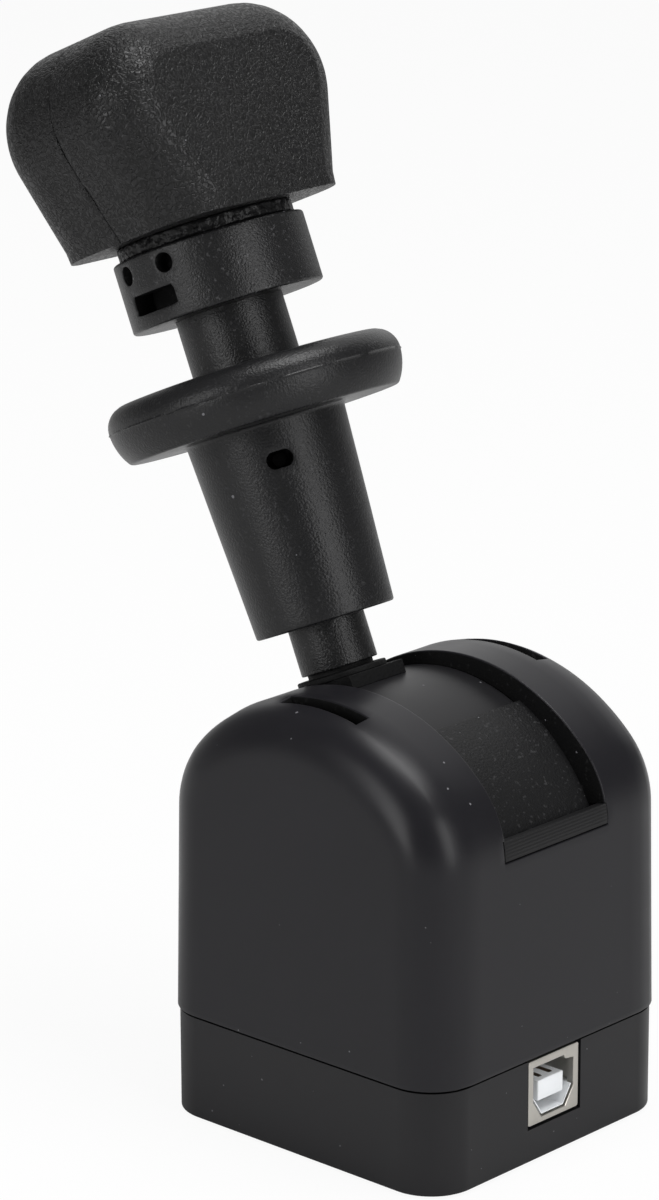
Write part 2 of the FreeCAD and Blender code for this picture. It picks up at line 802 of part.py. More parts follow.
def pin_slot():
    """Slot for the ring's cross pin and its travel, across the stem and the neck."""
    half = ring_pin_r + clear
    slot = box(-2 * neck_r, 2 * neck_r, -half, half, ring_pin_h - half, ring_pin_h + lift + half)
    slot.rotate(Vector(0, 0, 0), Z, ring_pin_turn)
    return slot


def stem_tube():
    tube = ring(stem_r, bore_r, stem_foot, collar_top)
    tube = tube.cut(Part.makeCylinder(spigot_r + fit_gap, spigot_h + 0.3, Vector(0, 0, stem_foot)))
    return at_lever(tube.cut(pin_slot()))


def neck_tube():
    return at_lever(ring(neck_r, stem_r + fit_gap, neck_foot, collar_top).cut(pin_slot()))


def collar():
    body = ring(collar_r, neck_r + fit_gap, collar_foot, collar_top)
    rims = [e for e in body.Edges if e.BoundBox.ZLength < 0.01 and e.BoundBox.XLength > 2 * collar_r - 0.1]
    body = body.makeFillet(0.35, rims)
    low = collar_slot_h - collar_slot_high / 2
    half = collar_slot_wide / 2
    slot = box(collar_r - collar_slot_deep, collar_r + 2, -half, half, low, low + collar_slot_high)
    body = body.cut(slot)
    for direction, start in collar_hole_lines():
        body = body.cut(rod(collar_hole_r, start, start + direction * collar_r))
    return at_lever(body)


def collar_hole_lines():
    lines = []
    for side in sides:
        a = radians(side * collar_hole_turn)
        direction = Vector(cos(a), sin(a), 0)
        lines.append((direction, direction * neck_r + Z * collar_hole_h))
    return lines


def collar_screws():
    screws = []
    for direction, start in collar_hole_lines():
        tip = start + direction * 0.1
        end = tip + direction * set_screw_h
        screw = rod(collar_hole_r - fit_gap, tip, end)
        screws.append(screw.cut(rod(collar_hole_r / 2, end - direction * set_screw_h / 2, end + direction)))
    return at_lever(group(screws))


def knob_seat():
    plate = Part.makeCylinder(seat_r, seat_t, Vector(0, 0, collar_top))
    hub = Part.makeCylinder(seat_hub_r, seat_hub_h, Vector(0, 0, knob_foot))
    spigot = Part.makeCylinder(bore_r - fit_gap, knob_foot - spring_seat, Vector(0, 0, spring_seat))
    return at_lever(fuse(plate, hub, spigot))


def knob_solid(inset):
    """The knob's outer form, shrunk by inset: flared to both sides, tapered to front and back."""
    widen = hypot(1, knob_flare)
    top = knob_top - inset
    shoulder = knob_shoulder_r - inset
    turn = atan2(knob_flare, 1)
    centre_h = knob_top - knob_shoulder_r
    centre_x = knob_half_x + knob_flare * (centre_h - knob_foot) - knob_shoulder_r * widen
    foot_x = knob_half_x - inset * widen

    def at(x, h, side):
        return Vector(side * x, 0, h)

    def on_shoulder(angle):
        return centre_x + shoulder * cos(angle), centre_h + shoulder * sin(angle)

    low = on_shoulder(-turn)
    mid = on_shoulder((pi / 2 - turn) / 2)
    high = (centre_x, top)
    edges = [Part.makeLine(at(foot_x, knob_foot, -1), at(foot_x, knob_foot, 1)),
             Part.makeLine(at(foot_x, knob_foot, 1), at(*low, 1)),
             Part.Arc(at(*low, 1), at(*mid, 1), at(*high, 1)).toShape(),
             Part.makeLine(at(*high, 1), at(*high, -1)),
             Part.Arc(at(*high, -1), at(*mid, -1), at(*low, -1)).toShape(),
             Part.makeLine(at(*low, -1), at(foot_x, knob_foot, -1))]
    profile = Part.Face(Part.Wire(edges))
    profile.translate(Y * -30)
    body = profile.extrude(Y * 60)
    half = knob_half_y - inset
    taper = knob_taper * (knob_top + 1 - knob_foot)
    side = face_of([Vector(-60, -half, knob_foot), Vector(-60, half, knob_foot),
                    Vector(-60, half - taper, knob_top + 1), Vector(-60, taper - half, knob_top + 1)])
    body = body.common(side.extrude(X * 120))

    def on_face(vertex):
        return abs(abs(vertex.Y) - (half - knob_taper * (vertex.Z - knob_foot))) < 0.001

    rims = [e for e in body.Edges
            if all(on_face(v) for v in e.Vertexes) and e.BoundBox.ZMax > knob_foot + 0.01
            and (e.BoundBox.YLength < 3)]
    return body.makeFillet(max(knob_edge_r - inset, 1.0), rims)


def knob_shell(side):
    shell = knob_solid(0)
    far = 3 * knob_half_x
    room = box(-far, far, -far, far, knob_foot + knob_wall, knob_top)
    shell = shell.cut(knob_solid(knob_wall).common(room))
    socket_h = seat_hub_h + knob_socket_wall
    shell = shell.fuse(Part.makeCylinder(seat_hub_r + knob_socket_wall, socket_h, Vector(0, 0, knob_foot)))
    bore = Part.makeCylinder(seat_hub_r + fit_gap, seat_hub_h + 1 + fit_gap, Vector(0, 0, knob_foot - 1))
    shell = shell.cut(bore)
    y0, y1 = (0.0, far) if side > 0 else (-far, 0.0)
    return at_lever(shell.common(box(-far, far, y0, y1, knob_foot - 1, knob_top + 1)).removeSplitter())


# Pieces that lift with the ring

def release_ring():
    def at(radius, height):
        return Vector(radius, 0, height)

    foot = sleeve_foot
    rim_low = at(disc_foot_r, disc_foot)
    rim_mid = at(disc_r, disc_foot + disc_widest)
    rim_high = at(disc_shoulder_r, disc_foot + disc_shoulder)
    bore = neck_r + clear
    cap_bore = stem_r + run_gap
    cap_top = foot + sleeve_cap
    crown = at((disc_shoulder_r + bore) / 2, disc_top - 0.12)
    edges = [Part.makeLine(at(cap_bore, foot), at(sleeve_foot_r, foot)),
             Part.makeLine(at(sleeve_foot_r, foot), at(sleeve_top_r, disc_foot)),
             Part.makeLine(at(sleeve_top_r, disc_foot), rim_low),
             Part.Arc(rim_low, rim_mid, rim_high).toShape(),
             Part.Arc(rim_high, crown, at(bore, disc_top)).toShape(),
             Part.makeLine(at(bore, disc_top), at(bore, cap_top)),
             Part.makeLine(at(bore, cap_top), at(cap_bore, cap_top)),
             Part.makeLine(at(cap_bore, cap_top), at(cap_bore, foot))]
    body = Part.Face(Part.Wire(edges)).revolve(Vector(0, 0, 0), Z, 360)
    rims = [e for e in body.Edges if e.BoundBox.ZLength < 0.01 and abs(e.BoundBox.ZMin - foot) < 0.01
            and e.BoundBox.XLength > 2 * sleeve_foot_r - 0.1]
    body = body.makeFillet(0.4, rims)
    half = pin_hole_high / 2
    run = pin_hole_wide / 2 - half
    far = 2 * sleeve_top_r
    hole = fuse(box(0, far, -run, run, ring_pin_h - half, ring_pin_h + half),
                rod(half, Vector(0, -run, ring_pin_h), Vector(far, -run, ring_pin_h)),
                rod(half, Vector(0, run, ring_pin_h), Vector(far, run, ring_pin_h)))
    seat = -(bore + pin_seat_deep)
    blind = rod(ring_pin_r + fit_gap, Vector(seat, 0, ring_pin_h), Vector(0, 0, ring_pin_h))
    for cut in (hole, blind):
        cut.rotate(Vector(0, 0, 0), Z, ring_pin_turn)
        body = body.cut(cut)
    return at_lever(body)


def cross_pin(radius, x0, x1):
    pin = rod(radius, Vector(x0, 0, ring_pin_h), Vector(x1, 0, ring_pin_h))
    pin.rotate(Vector(0, 0, 0), Z, ring_pin_turn)
    return pin


def ring_pin():
    bore = neck_r + clear
    return at_lever(cross_pin(ring_pin_r, 0.1 - bore - pin_seat_deep, bore + pin_short))


def lock_rod():
    body = Part.makeCylinder(rod_r, rod_top - gate_top, Vector(0, 0, gate_top))
    far = X * 2 * rod_r
    at_pin = Z * gate_pin_h
    body = body.cut(rod(gate_pin_r + 0.01, at_pin - far, at_pin + far))
    return at_lever(body.cut(cross_pin(ring_pin_r + 0.01, -2 * rod_r, 2 * rod_r)))


def gate_pin():
    reach = gate_in + gate_t
    return at_lever(rod(gate_pin_r, Vector(-reach, 0, gate_pin_h), Vector(reach, 0, gate_pin_h)))


def lock_spring():
    return at_lever(ring(rod_r, rod_r - rod_wall, rod_top, spring_seat))


def tail_shutter():
    return sector(tail_in, tail_out, tail_rear, tail_front, channel_half + groove_deep - 0.1)


parts = {
    "base_tray": base_tray,
    "base_pad": base_pad,
    "mount_inserts": mount_inserts,
    "housing": housing,
    "rear_end_strip": rear_end_strip,
    "rear_slot_cover": lambda: slot_cover(cover_start, cover_end - 0.3),
    "front_slot_cover": lambda: slot_cover(-front_end + 0.3, front_cover_start),
    "case_screws": case_screws,
    "pivot_frame": pivot_frame,
    "frame_screws": frame_screws,
    "pivot_bushes": pivot_bushes,
    "lock_gates": lock_gates,
    "return_springs": return_springs,
    "main_board": main_board,
    "board_screws": board_screws,
    "board_parts": board_parts,
    "usb_shell": usb_shell,
    "usb_insulator": usb_insulator,
    "usb_contacts": usb_contacts,
    "sensor_board": sensor_board,
    "sensor_header": sensor_header,
    "sensor_chip": sensor_chip,
    "pivot_axle": pivot_axle,
    "axle_clips": axle_clips,
    "sensor_magnet": sensor_magnet,
    "rotor": rotor,
    "lever_shutter": lever_shutter,
    "shutter_pad": shutter_pad,
    "stem_flange": stem_flange,
    "stem_tube": stem_tube,
    "neck_tube": neck_tube,
    "collar": collar,
    "collar_screws": collar_screws,
    "knob_seat": knob_seat,
    "knob_front_shell": lambda: knob_shell(-1),
    "knob_rear_shell": lambda: knob_shell(1),
    "release_ring": release_ring,
    "ring_pin": ring_pin,
    "lock_rod": lock_rod,
    "gate_pin": gate_pin,
    "lock_spring": lock_spring,
    "tail_shutter": tail_shutter,
}

os.makedirs("parts", exist_ok=True)
for name, make in parts.items():
    shape = make()
    if not shape.isValid() or not shape.Solids:
        print("check this piece:", name, "solids", len(shape.Solids))
    shape.exportStep("parts/" + name + ".step")
    print(name, "solids", len(shape.Solids), "volume", round(shape.Volume / 1000, 3), "cm3")
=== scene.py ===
import json
from math import (acos, asin, atan, atan2, ceil, cos, dist, exp, hypot, pi, radians, sin, sqrt,
                  tan)

import bmesh
import bpy
from mathutils import Matrix, Vector, noise


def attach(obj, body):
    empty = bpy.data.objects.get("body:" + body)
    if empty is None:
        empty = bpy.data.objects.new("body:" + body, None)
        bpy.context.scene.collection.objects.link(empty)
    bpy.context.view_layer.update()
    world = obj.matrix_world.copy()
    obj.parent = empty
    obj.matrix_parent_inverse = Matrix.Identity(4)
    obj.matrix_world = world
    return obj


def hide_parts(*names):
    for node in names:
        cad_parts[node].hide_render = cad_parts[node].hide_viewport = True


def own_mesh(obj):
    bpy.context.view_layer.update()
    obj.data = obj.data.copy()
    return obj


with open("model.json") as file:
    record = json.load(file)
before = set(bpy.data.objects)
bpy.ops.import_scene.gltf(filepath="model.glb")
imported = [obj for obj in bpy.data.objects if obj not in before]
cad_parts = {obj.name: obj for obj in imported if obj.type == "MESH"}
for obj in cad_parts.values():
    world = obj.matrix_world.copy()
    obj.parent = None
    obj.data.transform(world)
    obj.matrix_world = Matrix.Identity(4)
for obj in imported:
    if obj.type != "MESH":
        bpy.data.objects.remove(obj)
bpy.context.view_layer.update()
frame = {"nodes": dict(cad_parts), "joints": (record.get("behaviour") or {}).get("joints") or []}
print("stage: frame loaded,", len(frame["nodes"]), "CAD nodes")

mm = 0.001
tau = 2 * pi


class values(dict):
    # a dictionary whose entries can also be read as attributes
    __getattr__ = dict.__getitem__


# places shared by several pieces, in millimetres and degrees: the housing at its seam, its arch and
# channel, and the cover's radius about the pivot
place = values(
    lean=23.4, seamZ=17.4, halfX=28.55, halfY=29.7, archR=34.7, archZ=38.2, shoulderR=16.5, edgeR=8.2,
    draft=0.75, channelHalf=11.9, rearEndZ=54.8, stripHigh=3.2, coverOut=31.7)
# heights along the lever above the pivot, and its radii
arm = values(
    padTop=32.15, flangeT=0.95, stemFoot=33.85, sleeveFoot=41.45, neckFoot=55.95, pinH=67.7, discFoot=73.95,
    discTop=83.8, collarFoot=93.35, collarTop=104.75, knobFoot=107.05, knobTop=139.65, stemR=6.25, neckR=8.8,
    collarR=15.7, seatR=14.5)
# body, material slot, finish and CAD node of each piece
pieces = {
    "housingShell": ("base", "housing_plastic", "housing", "housing"),
    "endStrip": ("base", "cover_plastic", "strip", "rear_end_strip"),
    "rearCoverPlate": ("base", "cover_plastic", "cover", "rear_slot_cover"),
    "frontCoverPlate": ("base", "cover_plastic", "cover", "front_slot_cover"),
    "shutterPlate": ("lever", "shutter_plastic", "shutter", "lever_shutter"),
    "trayShell": ("base", "tray_plastic", "tray", "base_tray"),
    "socketShell": ("base", "nickel", "nickel", "usb_shell"),
    "socketInsulator": ("base", "white_plastic", "white", "usb_insulator"),
    "socketContacts": ("base", "brass", "contact", "usb_contacts"),
    "padBlock": ("lever", "pad_rubber", "pad", "shutter_pad"),
    "stemFlange": ("lever", "lever_plastic", "pad", "stem_flange"),
    "stemTube": ("lever", "lever_plastic", "stem", "stem_tube"),
    "neckTube": ("lever", "lever_plastic", "lever", "neck_tube"),
    "liftRing": ("lift_ring", "ring_plastic", "ring", "release_ring"),
    "collarRing": ("lever", "lever_plastic", "lever", "collar"),
    "knobSeat": ("lever", "seat_rubber", "seat", "knob_seat"),
    "knobFront": ("lever", "knob_plastic", "knob", "knob_front_shell"),
    "knobRear": ("lever", "knob_plastic", "knob", "knob_rear_shell"),
    "lockCoil": ("lever", "spring_steel", "spring", "lock_spring"),
}
# these have faces with the darker inside finish as well, which paints shade inside holes, vents and walls
insideShaded = {"housingShell", "liftRing", "collarRing"}

leverJoint = next(j for j in frame["joints"] if j["name"] == "lever_swing")
pivot = Vector(leverJoint["pos_m"])
leverPlace = Matrix.Translation(pivot) @ Matrix.Rotation(radians(place.lean), 4, "X")
pivotY, pivotZ = pivot.y / mm, pivot.z / mm
toMetres = Matrix.Scale(mm, 4)


# node trees, for shaders and for geometry
def newTree(name, family, inputs, outputs):
    # inputs are (label, kind, default or None), outputs are (label, kind)
    tree = bpy.data.node_groups.new(name, family + "NodeTree")
    for label, kind, value in inputs:
        socket = tree.interface.new_socket(label, in_out="INPUT", socket_type="NodeSocket" + kind)
        if value is not None:
            socket.default_value = value
    for label, kind in outputs:
        tree.interface.new_socket(label, in_out="OUTPUT", socket_type="NodeSocket" + kind)
    return tree, tree.nodes.new("NodeGroupInput").outputs, tree.nodes.new("NodeGroupOutput").inputs


def feed(tree, socket, value):
    if isinstance(value, bpy.types.NodeSocket):
        tree.links.new(value, socket)
    else:
        socket.default_value = value


def node(tree, kind, inputs=None, **settings):
    # the inputs are sockets or plain values, by name or by number; gives back the outputs
    made = tree.nodes.new(kind)
    for key, value in settings.items():
        setattr(made, key, value)
    for key, value in (inputs or {}).items():
        feed(tree, made.inputs[key], value)
    return made.outputs


def maths(tree, operation, *terms, clamp=False):
    return node(tree, "ShaderNodeMath", dict(enumerate(terms)), operation=operation, use_clamp=clamp)[0]


def ramp(tree, source, low, high):
    return node(tree, "ShaderNodeMapRange", {"Value": source, "From Min": low, "From Max": high},
                interpolation_type="SMOOTHSTEP")["Result"]


def cloud(tree, vector, scale, detail, roughness=0.5):
    return node(tree, "ShaderNodeTexNoise", {"Vector": vector, "Scale": scale, "Detail": detail,
                                             "Roughness": roughness})


def cells(tree, vector, scale, feature, **inputs):
    return node(tree, "ShaderNodeTexVoronoi", {"Vector": vector, "Scale": scale, **inputs},
                feature=feature)


def vectorMaths(tree, operation, a, b):
    second = "Scale" if operation == "SCALE" else 1
    return node(tree, "ShaderNodeVectorMath", {0: a, second: b}, operation=operation)[0]


def textureTree(name, size, outputs, others=()):
    # a shader group that takes a vector and a size in millimetres, which gives its scale
    tree, given, out = newTree(name, "Shader", [("Vector", "Vector", None), ("Size", "Float", size), *others],
                               [(label, "Float") for label in outputs])
    return tree, given, out, given["Vector"], maths(tree, "DIVIDE", 1000.0, given["Size"])


def sandTexture():
    # fine sand-blasted mould texture: a height and a mask of a few flecks, where glints of the sand's sparkle
    # are painted
    tree, _, out, vector, scale = textureTree("sandTexture", 0.3, ("Height", "GlintFleck"))
    fine = cloud(tree, vector, scale, 2.0, 0.55)[0]
    grains = cells(tree, vector, scale, "SMOOTH_F1", Smoothness=0.35)["Distance"]
    feed(tree, out["Height"], maths(tree, "MULTIPLY_ADD", grains, -0.7, fine))
    spots = cloud(tree, vector, maths(tree, "MULTIPLY", scale, 0.55), 1.0)[0]
    feed(tree, out["GlintFleck"], ramp(tree, spots, 0.62, 0.74))
    return tree


def leatherGrain():
    # worm-like wrinkles between small cushions
    tree, given, out, vector, scale = textureTree("leatherGrain", 1.0, ("Height", "Crease"))
    warp = vectorMaths(tree, "SUBTRACT", cloud(tree, vector, scale, 1.0)["Color"], (0.5, 0.5, 0.5))
    amount = maths(tree, "MULTIPLY", given["Size"], 0.0011)
    bent = vectorMaths(tree, "ADD", vector, vectorMaths(tree, "SCALE", warp, amount))
    worms = cloud(tree, bent, scale, 0.6)[0]
    valleys = ramp(tree, maths(tree, "ABSOLUTE", maths(tree, "SUBTRACT", worms, 0.5)), 0.0, 0.13)
    cushions = cells(tree, bent, maths(tree, "MULTIPLY", scale, 0.6), "DISTANCE_TO_EDGE")["Distance"]
    folds = maths(tree, "MULTIPLY_ADD", ramp(tree, cushions, 0.0, 0.16), 0.4, 0.6)
    both = maths(tree, "MULTIPLY", valleys, folds)
    feed(tree, out["Height"], both)
    feed(tree, out["Crease"], maths(tree, "SUBTRACT", 1.0, both))
    return tree


def dustSpecks():
    # sparse light specks; the size is their spacing
    tree, given, out, vector, scale = textureTree("dustSpecks", 3.0, ("Speck",), [("Share", "Float", 0.2)])
    warp = cloud(tree, vector, 2600.0, 1.0)["Color"]
    bent = vectorMaths(tree, "ADD", vector, vectorMaths(tree, "SCALE", warp, 0.00022))
    spots = cells(tree, bent, scale, "F1")
    parts = node(tree, "ShaderNodeSeparateColor", {0: spots["Color"]})
    inside = maths(tree, "LESS_THAN", spots["Distance"], maths(tree, "MULTIPLY", parts[1], 0.085))
    chosen = maths(tree, "LESS_THAN", parts[0], given["Share"])
    feed(tree, out["Speck"], maths(tree, "MULTIPLY", inside, chosen))
    return tree


def paintedEdgeHighlight():
    # painted edge highlight: lighter along convex edges, broken up by noise
    tree, given, out = newTree("paintedEdgeHighlight", "Shader", [("Vector", "Vector", None)], [("Highlight", "Float")])
    edges = ramp(tree, node(tree, "ShaderNodeNewGeometry")["Pointiness"], 0.51, 0.56)
    broken = ramp(tree, cloud(tree, given["Vector"], 420.0, 3.0)[0], 0.35, 0.62)
    feed(tree, out["Highlight"], maths(tree, "MULTIPLY", edges, broken))
    return tree


def slowMottle():
    # slow change over the surface, for colour and gloss
    tree, _, out, vector, scale = textureTree("slowMottle", 20.0, ("Value",))
    feed(tree, out["Value"], ramp(tree, cloud(tree, vector, scale, 4.0, 0.55)[0], 0.3, 0.7))
    return tree


def brushedLines():
    # fine parallel brushing along one direction
    tree, given, out, vector, scale = textureTree("brushedLines", 0.3, ("Height",),
                                                  [("Stretch", "Vector", (30.0, 1.0, 1.0))])
    stretched = vectorMaths(tree, "DIVIDE", vector, given["Stretch"])
    feed(tree, out["Height"], cloud(tree, stretched, scale, 3.0, 0.6)[0])
    return tree


groups = {make.__name__: make() for make in (sandTexture, leatherGrain, dustSpecks, paintedEdgeHighlight, slowMottle,
                                             brushedLines)}


def useGroup(tree, key, **inputs):
    vector = (tree.nodes.get("Texture Coordinate") or tree.nodes.new("ShaderNodeTexCoord")).outputs["Object"]
    return node(tree, "ShaderNodeGroup", {"Vector": vector, **inputs}, node_tree=groups[key])


def mixColour(tree, factor, a, b):
    # of the node's sockets, the inputs 6 and 7 and the output 2 are the ones for colours
    a, b = ((*item, 1.0) if isinstance(item, tuple) else item for item in (a, b))
    return node(tree, "ShaderNodeMix", {"Factor": factor, 6: a, 7: b}, data_type="RGBA")[2]


def shaded(colour, share, lift=0.0):
    return tuple(min(1.0, c * share + lift) for c in colour)


def startMaterial(name):
    made = bpy.data.materials.new(name)
    made.use_nodes = True
    return made, made.node_tree, made.node_tree.nodes["Principled BSDF"].inputs


def endMaterial(tree, shader, surface, roughness, height, strength, depth):
    feed(tree, shader["Base Color"], surface)
    feed(tree, shader["Roughness"], roughness)
    bump = node(tree, "ShaderNodeBump", {"Strength": strength, "Distance": depth * mm, "Height": height})
    feed(tree, shader["Normal"], bump[0])


def plastic(name, colour, rough, grain="sandTexture", grainSize=0.3, bump=0.3, depth=0.03, glintFleck=0.0,
            crease=0.0, dust=0.12, dustSpacing=3.0, edgeHighlightAmount=0.0, specular=0.2):
    made, tree, shader = startMaterial(name)
    shader["Specular IOR Level"].default_value = specular
    mottle = useGroup(tree, "slowMottle", Size=22.0)[0]
    texture = useGroup(tree, grain, Size=grainSize)
    surface = mixColour(tree, mottle, shaded(colour, 0.86), colour)
    roughness = maths(tree, "MULTIPLY_ADD", mottle, 0.08, rough - 0.04)
    # each layer is a mask, its amount and its colour
    layers = []
    if crease:
        # the creases take a much darker colour: painted shade in the grain's valleys
        layers.append((texture["Crease"], crease, shaded(colour, 0.12)))
        roughness = maths(tree, "MULTIPLY_ADD", texture["Crease"], 0.2, roughness, clamp=True)
    if glintFleck:
        # the flecks are painted several times brighter: painted glints of the sand's sparkle
        layers.append((texture["GlintFleck"], glintFleck, shaded(colour, 3.2, 0.02)))
    if edgeHighlightAmount:
        # convex edges are painted lighter: painted edge highlight
        layers.append((useGroup(tree, "paintedEdgeHighlight")[0], edgeHighlightAmount, shaded(colour, 2.4, 0.03)))
    if dust:
        specks = useGroup(tree, "dustSpecks", Size=dustSpacing, Share=dust)[0]
        layers.append((specks, 0.8, (0.15, 0.15, 0.16)))
    for mask, amount, tone in layers:
        surface = mixColour(tree, maths(tree, "MULTIPLY", mask, amount), surface, tone)
    endMaterial(tree, shader, surface, roughness, texture["Height"], bump, depth)
    return made


def metal(name, colour, rough, stretch=(20.0, 1.0, 1.0), bump=0.15):
    made, tree, shader = startMaterial(name)
    shader["Metallic"].default_value = 1.0
    tarnish = maths(tree, "MULTIPLY", useGroup(tree, "slowMottle", Size=6.0)[0], 0.25)
    lines = useGroup(tree, "brushedLines", Stretch=stretch, Size=0.25)[0]
    endMaterial(tree, shader, mixColour(tree, tarnish, colour, shaded(colour, 0.6)),
                maths(tree, "MULTIPLY_ADD", lines, 0.25, rough - 0.1), lines, bump, 0.01)
    return made


finish = {
    "housing": plastic("satinHousing", (0.0104, 0.0100, 0.0122), 0.33, grainSize=0.16, bump=0.12, depth=0.01,
        dust=0.5, dustSpacing=2.6, specular=0.23),
    "tray": plastic("satinTray", (0.0104, 0.0101, 0.0114), 0.40, grainSize=0.16, bump=0.14, depth=0.01,
        dust=0.4, dustSpacing=2.8, specular=0.25),
    "strip": plastic("satinStrip", (0.0085, 0.0084, 0.0090), 0.50, grainSize=0.2, bump=0.2, depth=0.015,
        dust=0.1),
    # the shutter's convex edges get the painted edge highlight
    "shutter": plastic("satinShutter", (0.0110, 0.0108, 0.0120), 0.38, grainSize=0.2, bump=0.16, depth=0.012,
        dust=0.2, dustSpacing=2.2, edgeHighlightAmount=0.4),
    "cover": plastic("coarseCover", (0.0075, 0.0075, 0.0080), 0.50, grainSize=0.38, bump=1.0, depth=0.055,
        glintFleck=0.5, dust=0.4, dustSpacing=2.0),
    "lever": plastic("sandedLever", (0.0075, 0.0075, 0.0080), 0.36, grainSize=0.31, bump=1.0, depth=0.058,
        glintFleck=0.8, dust=0.3, specular=0.34),
    "stem": plastic("sandedStem", (0.0066, 0.0066, 0.0070), 0.35, grainSize=0.34, bump=1.0, depth=0.070,
        glintFleck=0.8, dust=0.2, specular=0.33),
    "ring": plastic("satinRing", (0.0078, 0.0078, 0.0084), 0.35, grainSize=0.38, bump=0.9, depth=0.06,
        glintFleck=0.3, dust=0.3, specular=0.3),
    # the knob's grain creases are painted darker, as painted shade
    "knob": plastic("grainedKnob", (0.0102, 0.0102, 0.0107), 0.31, grain="leatherGrain", grainSize=0.82,
        bump=1.0, depth=0.12, crease=1.0, specular=0.3),
    "seat": plastic("roughSeat", (0.0060, 0.0060, 0.0064), 0.36, grainSize=1.3, bump=1.0, depth=0.4,
        glintFleck=0.35, dust=0.4, dustSpacing=1.2),
    # rough inside finish with a darkened colour: painted shade in holes, vents, walls and under the overhang
    "pit": plastic("paintedShadeInside", (0.0040, 0.0040, 0.0042), 0.70, grainSize=0.5, bump=0.6, depth=0.06,
        glintFleck=0.3, dust=0.1, specular=0.1),
    "pad": plastic("rubberPad", (0.0034, 0.0034, 0.0036), 0.62, grainSize=0.6, bump=0.8, depth=0.10, dust=0.2,
        specular=0.16),
    # near-black plastic for the ring's pin: painted shade, so the pin's hole reads dark
    "shade": plastic("paintedShadePlastic", (0.0015, 0.0015, 0.0015), 0.8, dust=0.0, specular=0.04),
    "white": plastic("whiteSocket", (0.84, 0.86, 0.88), 0.35, grainSize=0.2, bump=0.05, depth=0.01, dust=0.0),
    "chip": plastic("chipBody", (0.02, 0.02, 0.021), 0.5, grainSize=0.2, depth=0.02, dust=0.05),
    "board": plastic("boardMask", (0.012, 0.10, 0.045), 0.3, grainSize=0.5, bump=0.1, depth=0.02, dust=0.05),
    "nickel": metal("nickelShell", (0.50, 0.48, 0.44), 0.32, stretch=(14.0, 1.0, 1.0)),
    "brass": metal("turnedBrass", (0.72, 0.50, 0.22), 0.32, stretch=(1.0, 1.0, 12.0)),
    # brass colour darkened as painted shade, for contacts that lie in shadow inside the socket
    "contact": metal("shadeDarkenedContact", (0.26, 0.20, 0.15), 0.42, stretch=(1.0, 12.0, 1.0)),
    "zinc": metal("zincSteel", (0.55, 0.56, 0.58), 0.36),
    "spring": metal("springSteel", (0.34, 0.34, 0.36), 0.40),
    "dark": metal("darkSteel", (0.05, 0.05, 0.052), 0.48),
    "cast": metal("castAluminium", (0.60, 0.61, 0.63), 0.46, bump=0.3),
}
print("stage: materials made,", len(finish))


# meshes, all in millimetres until the piece is placed
def around(angle, r, x=0.0, y=0.0):
    # point of a circle
    return x + r * cos(angle), y + r * sin(angle)


def addObject(name, data):
    made = bpy.data.objects.new(name, data)
    bpy.context.scene.collection.objects.link(made)
    return made


def evaluated(holder):
    # the mesh that the modifiers of an object make; the object goes
    depsgraph = bpy.context.evaluated_depsgraph_get()
    mesh = bpy.data.meshes.new_from_object(holder.evaluated_get(depsgraph), depsgraph=depsgraph)
    holder.modifiers.clear()
    bpy.data.objects.remove(holder)
    return mesh


def meshFrom(bm, name, matrix=None):
    bmesh.ops.recalc_face_normals(bm, faces=bm.faces)
    mesh = bpy.data.meshes.new(name)
    bm.to_mesh(mesh)
    bm.free()
    if matrix:
        mesh.transform(matrix)
    return mesh


def shadeSmooth(mesh, sharp):
    mesh.polygons.foreach_set("use_smooth", [True] * len(mesh.polygons))
    mesh.set_sharp_from_angle(angle=radians(sharp))


def placeMesh(name, mesh, sharp=32.0):
    body, slotName, look, nodeName = pieces[name]
    marks = [face.material_index for face in mesh.polygons]
    mesh.materials.clear()
    mesh.materials.append(finish[look])
    # faces marked 1 take the darker inside finish: painted shade
    if name in insideShaded:
        mesh.materials.append(finish["pit"])
        mesh.polygons.foreach_set("material_index", marks)
    if sharp:
        shadeSmooth(mesh, sharp)
    piece = addObject(name, mesh)
    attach(piece, body)
    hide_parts(nodeName)
    return piece


def finishPiece(name, bm, matrix=toMetres, sharp=32.0):
    return placeMesh(name, meshFrom(bm, name, matrix), sharp)


def bevel(bm, edges, width, segments):
    bmesh.ops.bevel(bm, geom=edges, offset=width, offset_type="OFFSET", segments=segments, profile=0.5,
                    affect="EDGES", clamp_overlap=True, material=0)


def softenEdges(bm, pairs, width, segments=3):
    bmesh.ops.recalc_face_normals(bm, faces=bm.faces)
    bevel(bm, [edge for edge in map(bm.edges.get, pairs) if edge], width, segments)


def closedTube(bm, rings):
    # walls between rings of equally many points, and a face on the first and on the last ring
    for a, b in zip(rings, rings[1:]):
        for quad in zip(a, a[1:] + a[:1], b[1:] + b[:1], b):
            bm.faces.new(quad)
    bm.faces.new(rings[0])
    bm.faces.new(rings[-1])


def stations(low, high, step, extra=()):
    # evenly spaced values, with the extra ones taken in exactly
    count = max(1, round((high - low) / step))
    spots = [low + (high - low) * i / count for i in range(count + 1)]
    for item in extra:
        nearest = min(range(1, len(spots) - 1), key=lambda i: abs(spots[i] - item), default=None)
        if nearest is not None and abs(spots[nearest] - item) < 0.45 * (high - low) / count:
            spots[nearest] = item
        else:
            spots = sorted(spots + [item])
    return spots


